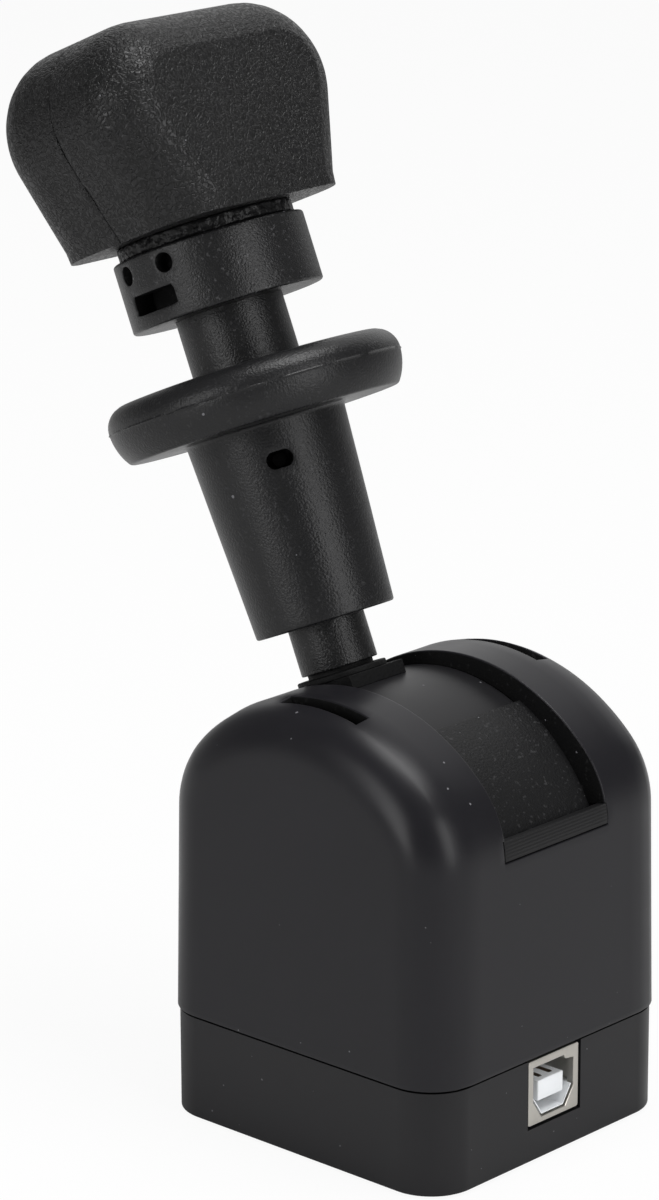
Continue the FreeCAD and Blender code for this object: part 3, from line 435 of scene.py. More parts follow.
def roundedLine(points, steps=5):
    # points are (x, y, radius); each corner with a radius becomes an arc
    out = []
    for k, (x, y, r) in enumerate(points):
        if r <= 0 or k in (0, len(points) - 1):
            out.append((x, y))
            continue
        p, a, b = Vector((x, y)), Vector(points[k - 1][:2]), Vector(points[k + 1][:2])
        da, db = (a - p).normalized(), (b - p).normalized()
        half = acos(max(-1, min(1, da.dot(db)))) / 2
        back = r / tan(half)
        centre = p + (da + db).normalized() * (r / sin(half))
        start, end = p + da * back - centre, p + db * back - centre
        turn = start.angle_signed(end)
        out += [tuple(centre + Matrix.Rotation(-turn * i / steps, 2) @ start) for i in range(steps + 1)]
    return out


def fillLine(line, step):
    # adds points on long stretches, for even faces
    out = [line[0]]
    for a, b in zip(line, line[1:]):
        count = max(1, ceil(dist(a, b) / step))
        out += [tuple(p + (q - p) * i / count for p, q in zip(a, b)) for i in range(1, count + 1)]
    return out


def lineSampler(line):
    # position and outward normal at a length along a line in the (radius, height) plane
    lengths = [0.0]
    for a, b in zip(line, line[1:]):
        lengths.append(lengths[-1] + dist(a, b))

    def at(s):
        k = 0
        while k < len(line) - 2 and lengths[k + 1] < s:
            k += 1
        span = max(lengths[k + 1] - lengths[k], 1e-9)
        t = (s - lengths[k]) / span
        a, b = line[k], line[k + 1]
        dx, dy = (b[0] - a[0]) / span, (b[1] - a[1]) / span
        return a[0] + (b[0] - a[0]) * t, a[1] + (b[1] - a[1]) * t, dy, -dx
    return at, lengths


def bisect(low, high, test):
    # where the test turns from false to true
    for _ in range(50):
        mid = (low + high) / 2
        low, high = (low, mid) if test(mid) else (mid, high)
    return high


def outlineAt(hole, angle, grow):
    # point of a rounded rectangle's outline in one direction from its middle
    a, b = hole.halfU + grow, hole.halfV + grow
    c = min(hole.corner + grow, a, b)

    def outside(reach):
        qu, qv = map(abs, around(angle, reach))
        qu, qv = qu - (a - c), qv - (b - c)
        return hypot(max(qu, 0), max(qv, 0)) + min(max(qu, qv), 0) >= c

    return around(angle, bisect(0.0, 2 * (a + b), outside), hole.u, hole.v)


def bandAround(spots, centre, half):
    # indices of the stations just outside centre - half and centre + half
    low = max(i for i, v in enumerate(spots) if v <= centre - half)
    return low, min(i for i, v in enumerate(spots) if v >= centre + half)


def lathe(name, line, segments, radius, holes=(), startTurn=0.0, wobble=None):
    # turns a closed (radius, height) line about the lever's axis, with rounded holes sunk into it;
    # u is a length round the given radius, v is one along the line
    sample, vs = lineSampler(line)
    us = [radius * tau * i / segments for i in range(segments)]
    bm = bmesh.new()
    made, taken = {}, set()

    def surface(u, s, depth):
        r, h, nr, nh = sample(s)
        a = u / radius + startTurn
        r, h = r - nr * depth, h - nh * depth
        if wobble:
            r += wobble(a, r, h)
        return Vector((*around(a, r), h))

    def at(i, j):
        key = (i % segments, j)
        if key not in made:
            made[key] = bm.verts.new(surface(us[key[0]], vs[j], 0.0))
        return made[key]

    for hole in holes:
        i0, i1 = bandAround(us, hole.u, hole.halfU + hole.margin)
        j0, j1 = bandAround(vs, hole.v, hole.halfV + hole.margin)
        taken |= {(i, j) for i in range(i0, i1) for j in range(j0, j1)}
        loop = [(i, j0) for i in range(i0, i1)] + [(i1, j) for j in range(j0, j1)]
        loop += [(i, j1) for i in range(i1, i0, -1)] + [(i0, j) for j in range(j1, j0, -1)]
        previous = [at(i, j) for i, j in loop]
        edge = hole.edge
        for grow, depth in ((edge, 0.0), (edge * 0.29, edge * 0.29), (0.0, edge), (0.0, hole.deep)):
            ring = []
            for i, j in loop:
                u, v = outlineAt(hole, atan2(vs[j] - hole.v, us[i] - hole.u), grow)
                pulled = hole.pull * max(0.0, depth - edge)
                ring.append(bm.verts.new(surface(u, v, min(depth, edge)) + pulled))
            # the deep walls and the floor of a hole are marked 1 for the darker inside finish: painted shade
            for quad in zip(previous, previous[1:] + previous[:1], ring[1:] + ring[:1], ring):
                bm.faces.new(quad).material_index = int(depth > edge)
            previous = ring
        bm.faces.new(previous).material_index = 1
    for i in range(segments):
        for j in range(len(vs) - 1):
            if (i, j) not in taken:
                bm.faces.new((at(i, j), at(i + 1, j), at(i + 1, j + 1), at(i, j + 1)))
    bmesh.ops.remove_doubles(bm, verts=bm.verts, dist=1e-4)
    return finishPiece(name, bm, leverPlace @ toMetres)


def geometryTree(name, inputs):
    body = ("Geometry", "Geometry")
    return newTree(name, "Geometry", [(*body, None), *inputs, ("material", "Material", None)], [body])


def endTree(tree, given, out, geometry):
    # every tree ends in Realize Instances and Set Material
    real = node(tree, "GeometryNodeRealizeInstances", {0: geometry})
    paint = node(tree, "GeometryNodeSetMaterial", {"Geometry": real[0], "Material": given["material"]})
    feed(tree, out[0], paint[0])
    return tree


def curveCircle(tree, resolution, radius):
    return node(tree, "GeometryNodeCurvePrimitiveCircle", {"Resolution": resolution, "Radius": radius},
                mode="RADIUS")[0]


def turnedTree():
    # turns a profile in the XY plane, x being the radius and y the height, about Z
    tree, given, out = geometryTree("turnedPiece", [("segments", "Int", 96), ("guideRadius", "Float", 1.0)])
    profile = node(tree, "GeometryNodeMeshToCurve", {0: given["Geometry"]})
    circle = curveCircle(tree, given["segments"], given["guideRadius"])
    swept = node(tree, "GeometryNodeCurveToMesh", {0: circle, 1: profile[0]})
    joined = node(tree, "GeometryNodeMergeByDistance", {0: swept[0], "Distance": 1e-7})
    return endTree(tree, given, out, joined[0])


def coilTree():
    # a wire wound round Z from height 0 up
    tree, given, out = geometryTree("woundWire", [
        ("turns", "Float", 6.0), ("coilRadius", "Float", 0.005), ("coilHeight", "Float", 0.01),
        ("wireRadius", "Float", 0.0005), ("stepsPerTurn", "Int", 28), ("sides", "Int", 10)])
    spiral = node(tree, "GeometryNodeCurveSpiral", {
        "Resolution": given["stepsPerTurn"], "Rotations": given["turns"], "Height": given["coilHeight"],
        "Start Radius": given["coilRadius"], "End Radius": given["coilRadius"]})
    wire = curveCircle(tree, given["sides"], given["wireRadius"])
    swept = node(tree, "GeometryNodeCurveToMesh", {0: spiral[0], 1: wire, "Fill Caps": True})
    return endTree(tree, given, out, swept[0])


def copiesTree():
    # puts a copy of the template on each point
    tree, given, out = geometryTree("copiesOnPoints", [("template", "Object", None)])
    template = node(tree, "GeometryNodeObjectInfo", {"Object": given["template"]}, transform_space="ORIGINAL")
    copies = node(tree, "GeometryNodeInstanceOnPoints", {
        "Points": given["Geometry"], "Instance": template["Geometry"]})
    return endTree(tree, given, out, copies[0])


trees = {"turned": turnedTree(), "coil": coilTree(), "copies": copiesTree()}


def runTree(key, name, mesh, **inputs):
    # the result of a tree on a mesh, as a plain mesh with the finish of the named piece
    inputs["material"] = finish[pieces[name][2]]
    holder = addObject("holder", mesh)
    modifier = holder.modifiers.new("make", "NODES")
    modifier.node_group = trees[key]
    for item in trees[key].interface.items_tree:
        if item.item_type == "SOCKET" and item.in_out == "INPUT" and item.name in inputs:
            modifier[item.identifier] = inputs[item.name]
    return evaluated(holder)


# arched blocks: the housing, its strip and the knob
def pathSampler(segments):
    # a run of lines and outward arcs; gives the point and the outward normal at a length
    lengths = [dist(g[1], g[2]) if g[0] == "line" else g[2] * abs(g[4] - g[3]) for g in segments]
    total = sum(lengths)

    def at(s):
        s = min(max(s, 0.0), total)
        for g, length in zip(segments, lengths):
            if s <= length + 1e-9 or g is segments[-1]:
                break
            s -= length
        if g[0] == "line":
            dx, dy = (g[2][0] - g[1][0]) / length, (g[2][1] - g[1][1]) / length
            return (g[1][0] + dx * s, g[1][1] + dy * s), (-dy, dx)
        a = g[3] + (g[4] - g[3]) * s / length
        return around(a, g[2], *g[1]), around(a, 1)
    return at, total, lengths


def archForm(at, total, half, slope, foot, edgeR, flat, plain, order, cut=0.0):
    # point of an arched block at length s over the arch and v across it, sunk by depth; the rounded
    # edge ends cut short of the side plane, which leaves a crease
    turn = atan(slope)
    sideNormal = Vector((cos(turn), 0, sin(turn)))

    def point(s, v, depth):
        (a, b), (na, nb) = at(s)
        side = 1 if v >= 0 else -1
        v = abs(v)
        top = Vector((0, na, nb))
        r = edgeR(b)
        lift = r * (1 - cos(cut * pi / 2))
        c = half + lift - r / cos(turn) - (b - nb * r - foot) * slope
        if v <= flat:
            x = v if v <= plain else plain + (v - plain) * (c - plain) / (flat - plain)
            p, n = Vector((x, a, b)), top
        else:
            n = top.slerp(sideNormal, min(v - flat, 1.0))
            p = Vector((c, a - na * r, b - nb * r)) + n * r
            if cut:
                p.x = min(p.x, half - (p.z - foot) * slope)
            if v > flat + 1:
                inward = -(top - sideNormal * top.dot(sideNormal)).normalized()
                p += inward * (v - flat - 1)
        p = p - n * depth
        if s <= 0 or s >= total:
            p.z = foot
        p.x *= side
        return Vector([p[k] for k in order])
    return point


def thickGrid(bm, point, us, vs, depth, keep=None):
    # two layers of quads joined along every open edge; gives back the outer edges of all openings.
    # With a keep function some quads are left out, and the first and last column end in one flat face
    outer, inner = {}, {}
    width, height = len(us) - 1, len(vs) - 1
    kept = {(i, j) for i in range(width) for j in range(height) if keep is None or keep(i, j)}

    def at(layer, i, j):
        if (i, j) not in layer:
            sunk = 0.0 if layer is outer else (depth(us[i], vs[j]) if callable(depth) else depth)
            layer[(i, j)] = bm.verts.new(point(us[i], vs[j], sunk))
        return layer[(i, j)]

    rims = []
    # the inner layer and the walls of openings are marked 1 for the darker inside finish, painted shade, where
    # the piece has it
    for i, j in sorted(kept):
        corners = [(i, j), (i + 1, j), (i + 1, j + 1), (i, j + 1)]
        bm.faces.new([at(outer, *c) for c in corners])
        bm.faces.new([at(inner, *c) for c in reversed(corners)]).material_index = 1
        for k, other in enumerate([(i, j - 1), (i + 1, j), (i, j + 1), (i - 1, j)]):
            if other in kept or (keep and other[1] in (-1, height)):
                continue
            a, b = corners[k], corners[(k + 1) % 4]
            bm.faces.new((at(outer, *a), at(outer, *b), at(inner, *b), at(inner, *a))).material_index = 1
            rims.append((outer[a], outer[b]))
    for j in (0, height) if keep else ():
        bm.faces.new([outer[(i, j)] for i in range(width + 1)])
        bm.faces.new([inner[(i, j)] for i in range(width + 1)]).material_index = 1
        first, last = (0, j), (width, j)
        bm.faces.new((outer[first], outer[last], inner[last], inner[first]))
        rims.append((outer[first], outer[last]))
    return rims


def archSegments(halfFoot, foot, slope, bendR, topR, centreZ):
    # wall, shoulder, round top, shoulder, wall, from the hand side to the cable side
    turn = atan(slope)
    a = halfFoot + foot * slope - bendR / cos(turn)
    b = a * slope + centreZ
    c = a * a + centreZ * centreZ - (topR - bendR) ** 2
    bendZ = (b + sqrt(b * b - (1 + slope * slope) * c)) / (1 + slope * slope)
    bendY = a - bendZ * slope
    topTurn = atan2(bendZ - centreZ, bendY)
    low = around(turn, bendR, bendY, bendZ)
    return [("line", (-halfFoot, foot), (-low[0], low[1])),
            ("arc", (-bendY, bendZ), bendR, pi - turn, pi - topTurn),
            ("arc", (0.0, centreZ), topR, pi - topTurn, topTurn),
            ("arc", (bendY, bendZ), bendR, topTurn, turn),
            ("line", low, (halfFoot, foot))]


housingLook = values(
    step=1.25, flat=19.7, plain=15.0, lip=0.22, seamLip=0.14, wall=2.0, ribIn=28.2, ribWall=1.8, ventOut=22.4,
    ventTurn=13.4, stripHalf=12.26, sag=0.05, seamGap=0.42, frontInset=2.8, joinGap=0.06)
slope = tan(radians(place.draft))
houseAt, houseTotal, houseLengths = pathSampler(archSegments(
    place.halfY, place.seamZ, slope, place.shoulderR, place.archR, place.archZ))
houseForm = archForm(houseAt, houseTotal, place.halfX, slope, place.seamZ, lambda z: place.edgeR,
                     housingLook.flat, housingLook.plain, (0, 1, 2))
topLength = houseTotal / 2


def lengthWhere(low, high, test):
    # the length over the housing's arch at which the test of a height turns true
    return bisect(low, high, lambda s: test(houseAt(s)[0][1]))


def behindWhere(limit):
    return lengthWhere(topLength, houseTotal, lambda z: z < limit)


frontAngle = asin((place.halfY + pivotY - housingLook.frontInset) / place.coverOut)
frontEnd = lengthWhere(0, topLength, lambda z: z > pivotZ + place.coverOut * cos(frontAngle))
stripTop = behindWhere(place.rearEndZ + housingLook.joinGap)
rearEnd = behindWhere(place.rearEndZ - place.stripHigh - housingLook.joinGap)


def buildHousing():
    look, channel, corner = housingLook, place.channelHalf, place.edgeR
    flat, ribOut, hair = look.flat, channel + look.ribWall, 0.01
    ventHalf = place.archR * radians(look.ventTurn)
    vent = flat + asin((look.ventOut - flat) / corner) / (pi / 2)
    rows = stations(0, houseTotal, look.step, (
        frontEnd, stripTop, rearEnd, topLength - ventHalf, topLength + ventHalf, houseLengths[0],
        houseTotal - houseLengths[0]))
    half = [0.0, 3.0, 6.0, 9.0, channel, look.stripHalf, ribOut, ribOut + 0.08, 15.5, 17.5, flat, vent]
    half += [vent + (flat + 1 - vent) * k / 9 for k in range(1, 10)] + [flat + 2.6]
    columns = [-v for v in reversed(half[1:])] + half

    def keep(i, j):
        s = (rows[i] + rows[i + 1]) / 2
        v = abs((columns[j] + columns[j + 1]) / 2)
        inChannel = frontEnd < s < stripTop and v < channel
        inStrip = stripTop < s < rearEnd and v < look.stripHalf
        inVent = abs(s - topLength) < ventHalf and flat < v < vent
        return not (inChannel or inStrip or inVent)

    def depth(s, v):
        # the ribs beside the channel reach down to a circle about the pivot
        if channel - hair < abs(v) < ribOut + hair and frontEnd - hair < s < rearEnd + hair:
            (y, z), _ = houseAt(s)
            return max(look.wall, hypot(y - pivotY, z - pivotZ) - look.ribIn)
        return look.wall

    def settled(s, v, sunk):
        # moulded walls sink a little between the corners
        p = houseForm(s, v, sunk)
        if sunk == 0.0 and abs(v) < flat:
            (y, z), (ny, nz) = houseAt(s)
            fade = min(1.0, max(0.0, (z - place.seamZ) / 8))
            p -= Vector((0, ny, nz)) * (look.sag * 0.5 * (1 + noise.noise(p * 0.045)) * fade)
        return p

    def rimPlace(v):
        # how far a point lies beyond each side, and from the middle of its corner
        dx, dy = abs(v.co.x) - place.halfX, abs(v.co.y) - place.halfY
        return dx, dy, hypot(max(dx + corner, 0), max(dy + corner, 0))

    def onRim(v):
        dx, dy, away = rimPlace(v)
        return abs(dx) < 0.02 or abs(dy) < 0.02 or away > corner - 0.1

    bm = bmesh.new()
    rims = thickGrid(bm, settled, rows, columns, depth, keep)
    low = place.seamZ + hair
    softenEdges(bm, [r for r in rims if max(r[0].co.z, r[1].co.z) > low], look.lip)
    seam = [e for e in bm.edges if e.calc_face_angle(0) > 1.2
            and all(v.co.z < low and onRim(v) for v in e.verts)]
    bmesh.ops.recalc_face_normals(bm, faces=bm.faces)
    bevel(bm, seam, look.seamLip, 2)
    for v in bm.verts:
        # the outer rim stands a hair off the tray, which leaves the dark seam line
        dx, dy, away = rimPlace(v)
        if v.co.z < place.seamZ + 0.25 and (max(dx, dy) > -0.2 or away > corner - 0.25):
            v.co.z += look.seamGap
    finishPiece("housingShell", bm)


stripLook = values(half=12.16, lip=0.16, wall=1.75, ribDeep=0.05, ribs=6, rowStep=0.13, columnStep=1.6)


def buildStrip(look=stripLook):
    low, high = behindWhere(place.rearEndZ - place.stripHigh), behindWhere(place.rearEndZ)

    def ribbed(s, v, depth):
        wave = 0.5 - 0.5 * cos(tau * look.ribs * (s - high) / (low - high))
        return houseForm(s, v, depth + (look.ribDeep * wave if depth == 0 else 0))

    bm = bmesh.new()
    softenEdges(bm, thickGrid(bm, ribbed, stations(high, low, look.rowStep),
                              stations(-look.half, look.half, look.columnStep), look.wall), look.lip)
    finishPiece("endStrip", bm)


coverLook = values(radius=place.coverOut, thick=0.48, half=12.65, lip=0.12, rough=0.045, scale=0.9)
plateLook = {
    "rearCoverPlate": values(coverLook, start=25.8, end=65.4),
    "frontCoverPlate": values(coverLook, start=-49.75, end=-35.4),
    "shutterPlate": values(radius=30.9, thick=0.7, half=11.6, lip=0.14, rough=0.012, scale=0.25, start=-48.5,
                           end=29.0),
}


def buildPlate(name):
    # a curved plate about the pivot, with a faintly uneven face
    look = plateLook[name]

    def point(a, x, depth):
        r = look.radius - depth
        if depth == 0:
            r -= look.rough * (0.5 + 0.5 * noise.noise(Vector((x, a * look.radius, 7.0)) * look.scale))
        return Vector((x, pivotY + r * sin(a), pivotZ + r * cos(a)))

    bm = bmesh.new()
    rows = stations(radians(look.start), radians(look.end), 0.02)
    columns = stations(-look.half, look.half, 0.62)
    softenEdges(bm, thickGrid(bm, point, rows, columns, look.thick), look.lip)
    finishPiece(name, bm)


def solidCopy(name, width=0.0):
    # a CAD solid taken over, its edges of over 35 degrees softened
    source = frame["nodes"][pieces[name][3]].data
    bm = bmesh.new()
    made = [bm.verts.new(v.co) for v in source.vertices]
    for face in source.polygons:
        bm.faces.new([made[i] for i in face.vertices])
    bmesh.ops.remove_doubles(bm, verts=bm.verts, dist=2e-6)
    bmesh.ops.dissolve_limit(bm, angle_limit=radians(0.6), verts=bm.verts, edges=bm.edges)
    if width:
        edges = [e for e in bm.edges if e.is_manifold and e.calc_face_angle(0) > radians(35)]
        bevel(bm, edges, width * mm, 3)
    mesh = meshFrom(bm, name)
    shadeSmooth(mesh, 40)
    holder = addObject("holder", mesh)
    holder.modifiers.new("even", "WEIGHTED_NORMAL").keep_sharp = True
    return placeMesh(name, evaluated(holder), None)


# the socket: a folded metal shell and the white moulding in it
socketLook = values(
    x=0.45, top=17.27, front=29.35, wide=12.04, high=10.86, deep=16.2, metal=0.4, fold=0.45, soft=0.16,
    sideBorder=1.2, topBorder=1.3, lowBorder=0.95, bevelAcross=1.95, bevelUp=2.9, tabFrom=2.4, tabHigh=1.0,
    tabSlant=0.5, troughRim=-1.25, lipDeep=1.25, lipGap=0.28, lipWall=0.12, lipBack=0.25, wellDeep=9.2,
    tongueHalf=3.03, tongueShift=-0.17, tongueDrop=0.5, tongueRise=1.68, tongueBack=0.75, tongueLip=0.2,
    windowGap=0.4)
socketMiddle = socketLook.top - socketLook.high / 2


def rayPoint(points, angle):
    # where a ray from the middle meets a closed outline
    dx, dz = cos(angle), sin(angle)
    reach = 0.0
    for (ax, az), (bx, bz) in zip(points, points[1:] + points[:1]):
        ex, ez = bx - ax, bz - az
        cross = dx * ez - dz * ex
        if abs(cross) > 1e-9 and -1e-6 <= (ax * dz - az * dx) / cross <= 1 + 1e-6:
            reach = max(reach, (ax * ez - az * ex) / cross)
    return dx * reach, dz * reach


def roundedBox(inset, corner, steps=4):
    # the socket's outline, drawn in by an inset
    halfX, halfZ = socketLook.wide / 2 - inset - corner, socketLook.high / 2 - inset - corner
    out = []
    for k, (sx, sz) in enumerate(((1, 1), (-1, 1), (-1, -1), (1, -1))):
        for i in range(steps + 1):
            a = pi / 2 * (k + i / steps)
            out.append(around(a, corner, sx * halfX, sz * halfZ))
    return out


def mouthOutline(grow):
    # the opening for the plug, with a tab in one upper corner and two bevelled lower ones
    look = socketLook
    side = look.wide / 2 - look.sideBorder + grow
    high = look.high / 2 - look.topBorder + grow
    low = -look.high / 2 + look.lowBorder - grow
    tab, across, up = -side + look.tabFrom, look.bevelAcross, look.bevelUp
    return [(side, high), (tab, high), (tab - look.tabSlant, high - look.tabHigh * 0.7),
            (-side, high - look.tabHigh), (-side, low + up), (-side + across, low), (side - across, low),
            (side, low + up)]


def buildSocketShell(look=socketLook):
    front, fold, soft = look.front, look.fold, look.soft
    back, lip = front - look.deep, front - look.lipDeep
    layers = [(roundedBox(0, fold), back), (roundedBox(0, fold), front - soft),
              (roundedBox(0.05, fold), front - 0.05), (roundedBox(soft, fold), front),
              (mouthOutline(0.08), front), (mouthOutline(0.0), front - 0.08), (mouthOutline(0.0), lip),
              (roundedBox(look.metal, 0.15), lip), (roundedBox(look.metal, 0.15), back + look.metal)]
    angles = sorted({round(atan2(z, x), 5) for points, _ in layers for x, z in points})
    bm = bmesh.new()
    closedTube(bm, [[bm.verts.new((look.x + x, y, socketMiddle + z))
                     for x, z in (rayPoint(points, a) for a in angles)] for points, y in layers])
    finishPiece("socketShell", bm)


def prism(points, low, high, lip=0.0):
    # a solid with a flat outline, from one depth to another, its front edges softened
    bm = bmesh.new()
    ends = [[bm.verts.new((socketLook.x + x, y, socketMiddle + z)) for x, z in points] for y in (low, high)]
    closedTube(bm, ends)
    if lip:
        softenEdges(bm, [*zip(ends[1], ends[1][1:] + ends[1][:1]), *zip(*ends)], lip)
    return meshFrom(bm, "prism")


def unite(meshes):
    # one closed solid from several that overlap
    holders = [addObject("holder", mesh) for mesh in meshes]
    for other in holders[1:]:
        joined = holders[0].modifiers.new("unite", "BOOLEAN")
        joined.operation, joined.solver, joined.object = "UNION", "EXACT", other
    result = evaluated(holders[0])
    for other in holders[1:]:
        bpy.data.objects.remove(other)
    return result


def buildInsulator(look=socketLook):
    inset = look.metal + 0.05
    side, low, high = look.wide / 2 - inset, -look.high / 2 + inset, look.high / 2 - inset
    wellBack, rim = look.front - look.wellDeep, look.troughRim
    outer, inner = mouthOutline(-look.lipGap)[4:], mouthOutline(-look.lipGap - look.lipWall)[4:]
    hollow = [(inner[3][0], rim)] + inner[::-1] + [(inner[0][0], rim)]
    trough = [(side, low), (side, rim)] + hollow + [(-side, rim), (-side, low)]
    lip = [(outer[3][0], rim)] + hollow + [(outer[0][0], rim)] + outer
    right, left = look.tongueShift - look.tongueHalf, look.tongueShift + look.tongueHalf
    top, bottom = look.tongueRise - look.tongueDrop, -look.tongueRise - look.tongueDrop
    front, start = look.front - look.lipDeep - 0.15, wellBack - 0.3
    mesh = unite([
        prism([(side, low), (side, high), (-side, high), (-side, low)], look.front - look.deep + 0.5, wellBack),
        prism(trough, start, front), prism(lip, front - 0.3, look.front - look.lipBack),
        prism([(left, bottom), (left, top), (right, top), (right, bottom)], start,
              look.front - look.tongueBack, look.tongueLip)])
    mesh.transform(toMetres)
    placeMesh("socketInsulator", mesh)


contactLook = values(wide=0.85, pitch=2.5, thick=0.34, proud=0.1, back=0.9, nose=0.5, edge=0.05)


def buildContacts():
    # one template holds an upper and a lower strip, and is copied to both places across the tongue
    look, contact = socketLook, contactLook
    middle = socketMiddle - look.tongueDrop
    back, tip = look.front - look.wellDeep - 0.2, look.front - look.tongueBack - contact.back
    top = look.tongueRise + contact.proud
    low = top - contact.thick
    line = [(back, low), (tip, low), (tip - 0.05, top - contact.proud * 1.4), (tip - contact.nose, top),
            (back, top)]
    bm = bmesh.new()
    for side in (1, -1):
        ends = [[bm.verts.new((x, y, middle + side * z)) for y, z in line]
                for x in (-contact.wide / 2, contact.wide / 2)]
        closedTube(bm, ends)
        softenEdges(bm, [(end[k], end[k + 1]) for end in ends for k in (2, 3)], contact.edge, 2)
    template = addObject("contactTemplate", meshFrom(bm, "contactTemplate", toMetres))
    points = bpy.data.meshes.new("contactPoints")
    points.from_pydata([((look.x + look.tongueShift + step * contact.pitch / 2) * mm, 0.0, 0.0)
                        for step in (-1, 1)], [], [])
    placeMesh("socketContacts", runTree("copies", "socketContacts", points, template=template))
    bpy.data.objects.remove(template)


def fitTray(piece):
    # the ledge under the housing takes the darker inside finish, painted shade under the overhang; the cut-out
    # stands off the socket below and on one side
    look, near = socketLook, 0.3
    piece.data.materials.append(finish["pit"])
    for face in piece.data.polygons:
        if face.normal.z > 0.9 and face.center.z > (place.seamZ - 0.2) * mm:
            face.material_index = 1
    sideX, lowZ = look.x - look.wide / 2, look.top - look.high
    for v in piece.data.vertices:
        x, y, z = v.co / mm
        if y > 25 and z > lowZ - near and abs(x - sideX) < near:
            v.co.x -= look.windowGap * mm
        if y > 25 and abs(z - lowZ) < near and abs(x - look.x) < look.wide / 2 + near:
            v.co.z -= look.windowGap * mm


padLook = values(soft=0.3)
buildHousing()
buildStrip()
for plate in plateLook:
    buildPlate(plate)
fitTray(solidCopy("trayShell"))
buildSocketShell()
buildInsulator()
buildContacts()
solidCopy("padBlock", padLook.soft)
print("stage: base pieces made")


# lever pieces, built upright about the pivot and then leaned
def turned(name, line, radius):
    # a closed turned piece from its profile, through the geometry node tree
    profile = bpy.data.meshes.new("profile")
    profile.from_pydata([((r - radius) * mm, -h * mm, 0.0) for r, h in line + [line[0]]],
                        [(i, i + 1) for i in range(len(line))], [])
    bm = bmesh.new()
    bm.from_mesh(runTree("turned", name, profile, segments=160, guideRadius=radius * mm))
    bmesh.ops.remove_doubles(bm, verts=bm.verts, dist=1e-7)
    finishPiece(name, bm, leverPlace)


stemLook = values(
    flangeBore=4.62, flangeR=7.3, grooveR=5.35, stemBore=4.65, edge=0.2, neckBore=6.27, neckEdge=0.3)


def buildStem():
    look, foot, flangeTop = stemLook, arm.stemFoot, arm.padTop + arm.flangeT
    turned("stemFlange", roundedLine([
        (look.flangeBore, arm.padTop, 0), (look.flangeR, arm.padTop, 0.12), (look.flangeR, flangeTop, 0.25),
        (look.grooveR, flangeTop, 0.1), (look.grooveR, foot, 0.05), (look.flangeBore, foot, 0)], 4), 7.0)
    for name, bore, outer, low, edge, guide in (
            ("stemTube", look.stemBore, arm.stemR, foot, look.edge, 6.0),
            ("neckTube", look.neckBore, arm.neckR, arm.neckFoot, look.neckEdge, 8.0)):
        high = arm.collarTop
        line = roundedLine([(bore, low, 0), (outer, low, edge), (outer, high, edge), (bore, high, 0)], 4)
        turned(name, fillLine(line, 4.0), guide)


ringLook = values(
    segments=220, capBore=6.31, footR=11.35, topR=13.05, discFootR=22.2, discR=24.1, widest=5.35,
    shoulderH=9.3, shoulderR=21.3, bore=9.1, cap=2.2, mouldLine=0.17, tear=0.72, holeTurn=48.3, bulge=1.3,
    fallIn=0.62, footEdge=0.8, topEdge=1.4, meanR=12.7, holeHalf=2.2, holeHigh=1.35, holeEdge=0.18,
    holeDeep=3.3)


def arcThrough(a, b, c, steps):
    # points on the circle through three points
    ax, ay, bx, by, cx, cy = *a, *b, *c
    d = 2 * (ax * (by - cy) + bx * (cy - ay) + cx * (ay - by))
    aa, bb, cc = ax * ax + ay * ay, bx * bx + by * by, cx * cx + cy * cy
    ux = (aa * (by - cy) + bb * (cy - ay) + cc * (ay - by)) / d
    uy = (aa * (cx - bx) + bb * (ax - cx) + cc * (bx - ax)) / d
    r = hypot(ax - ux, ay - uy)
    start = atan2(ay - uy, ax - ux)
    sweep = (atan2(cy - uy, cx - ux) - start + pi) % tau - pi
    return [around(start + sweep * i / steps, r, ux, uy) for i in range(steps + 1)]


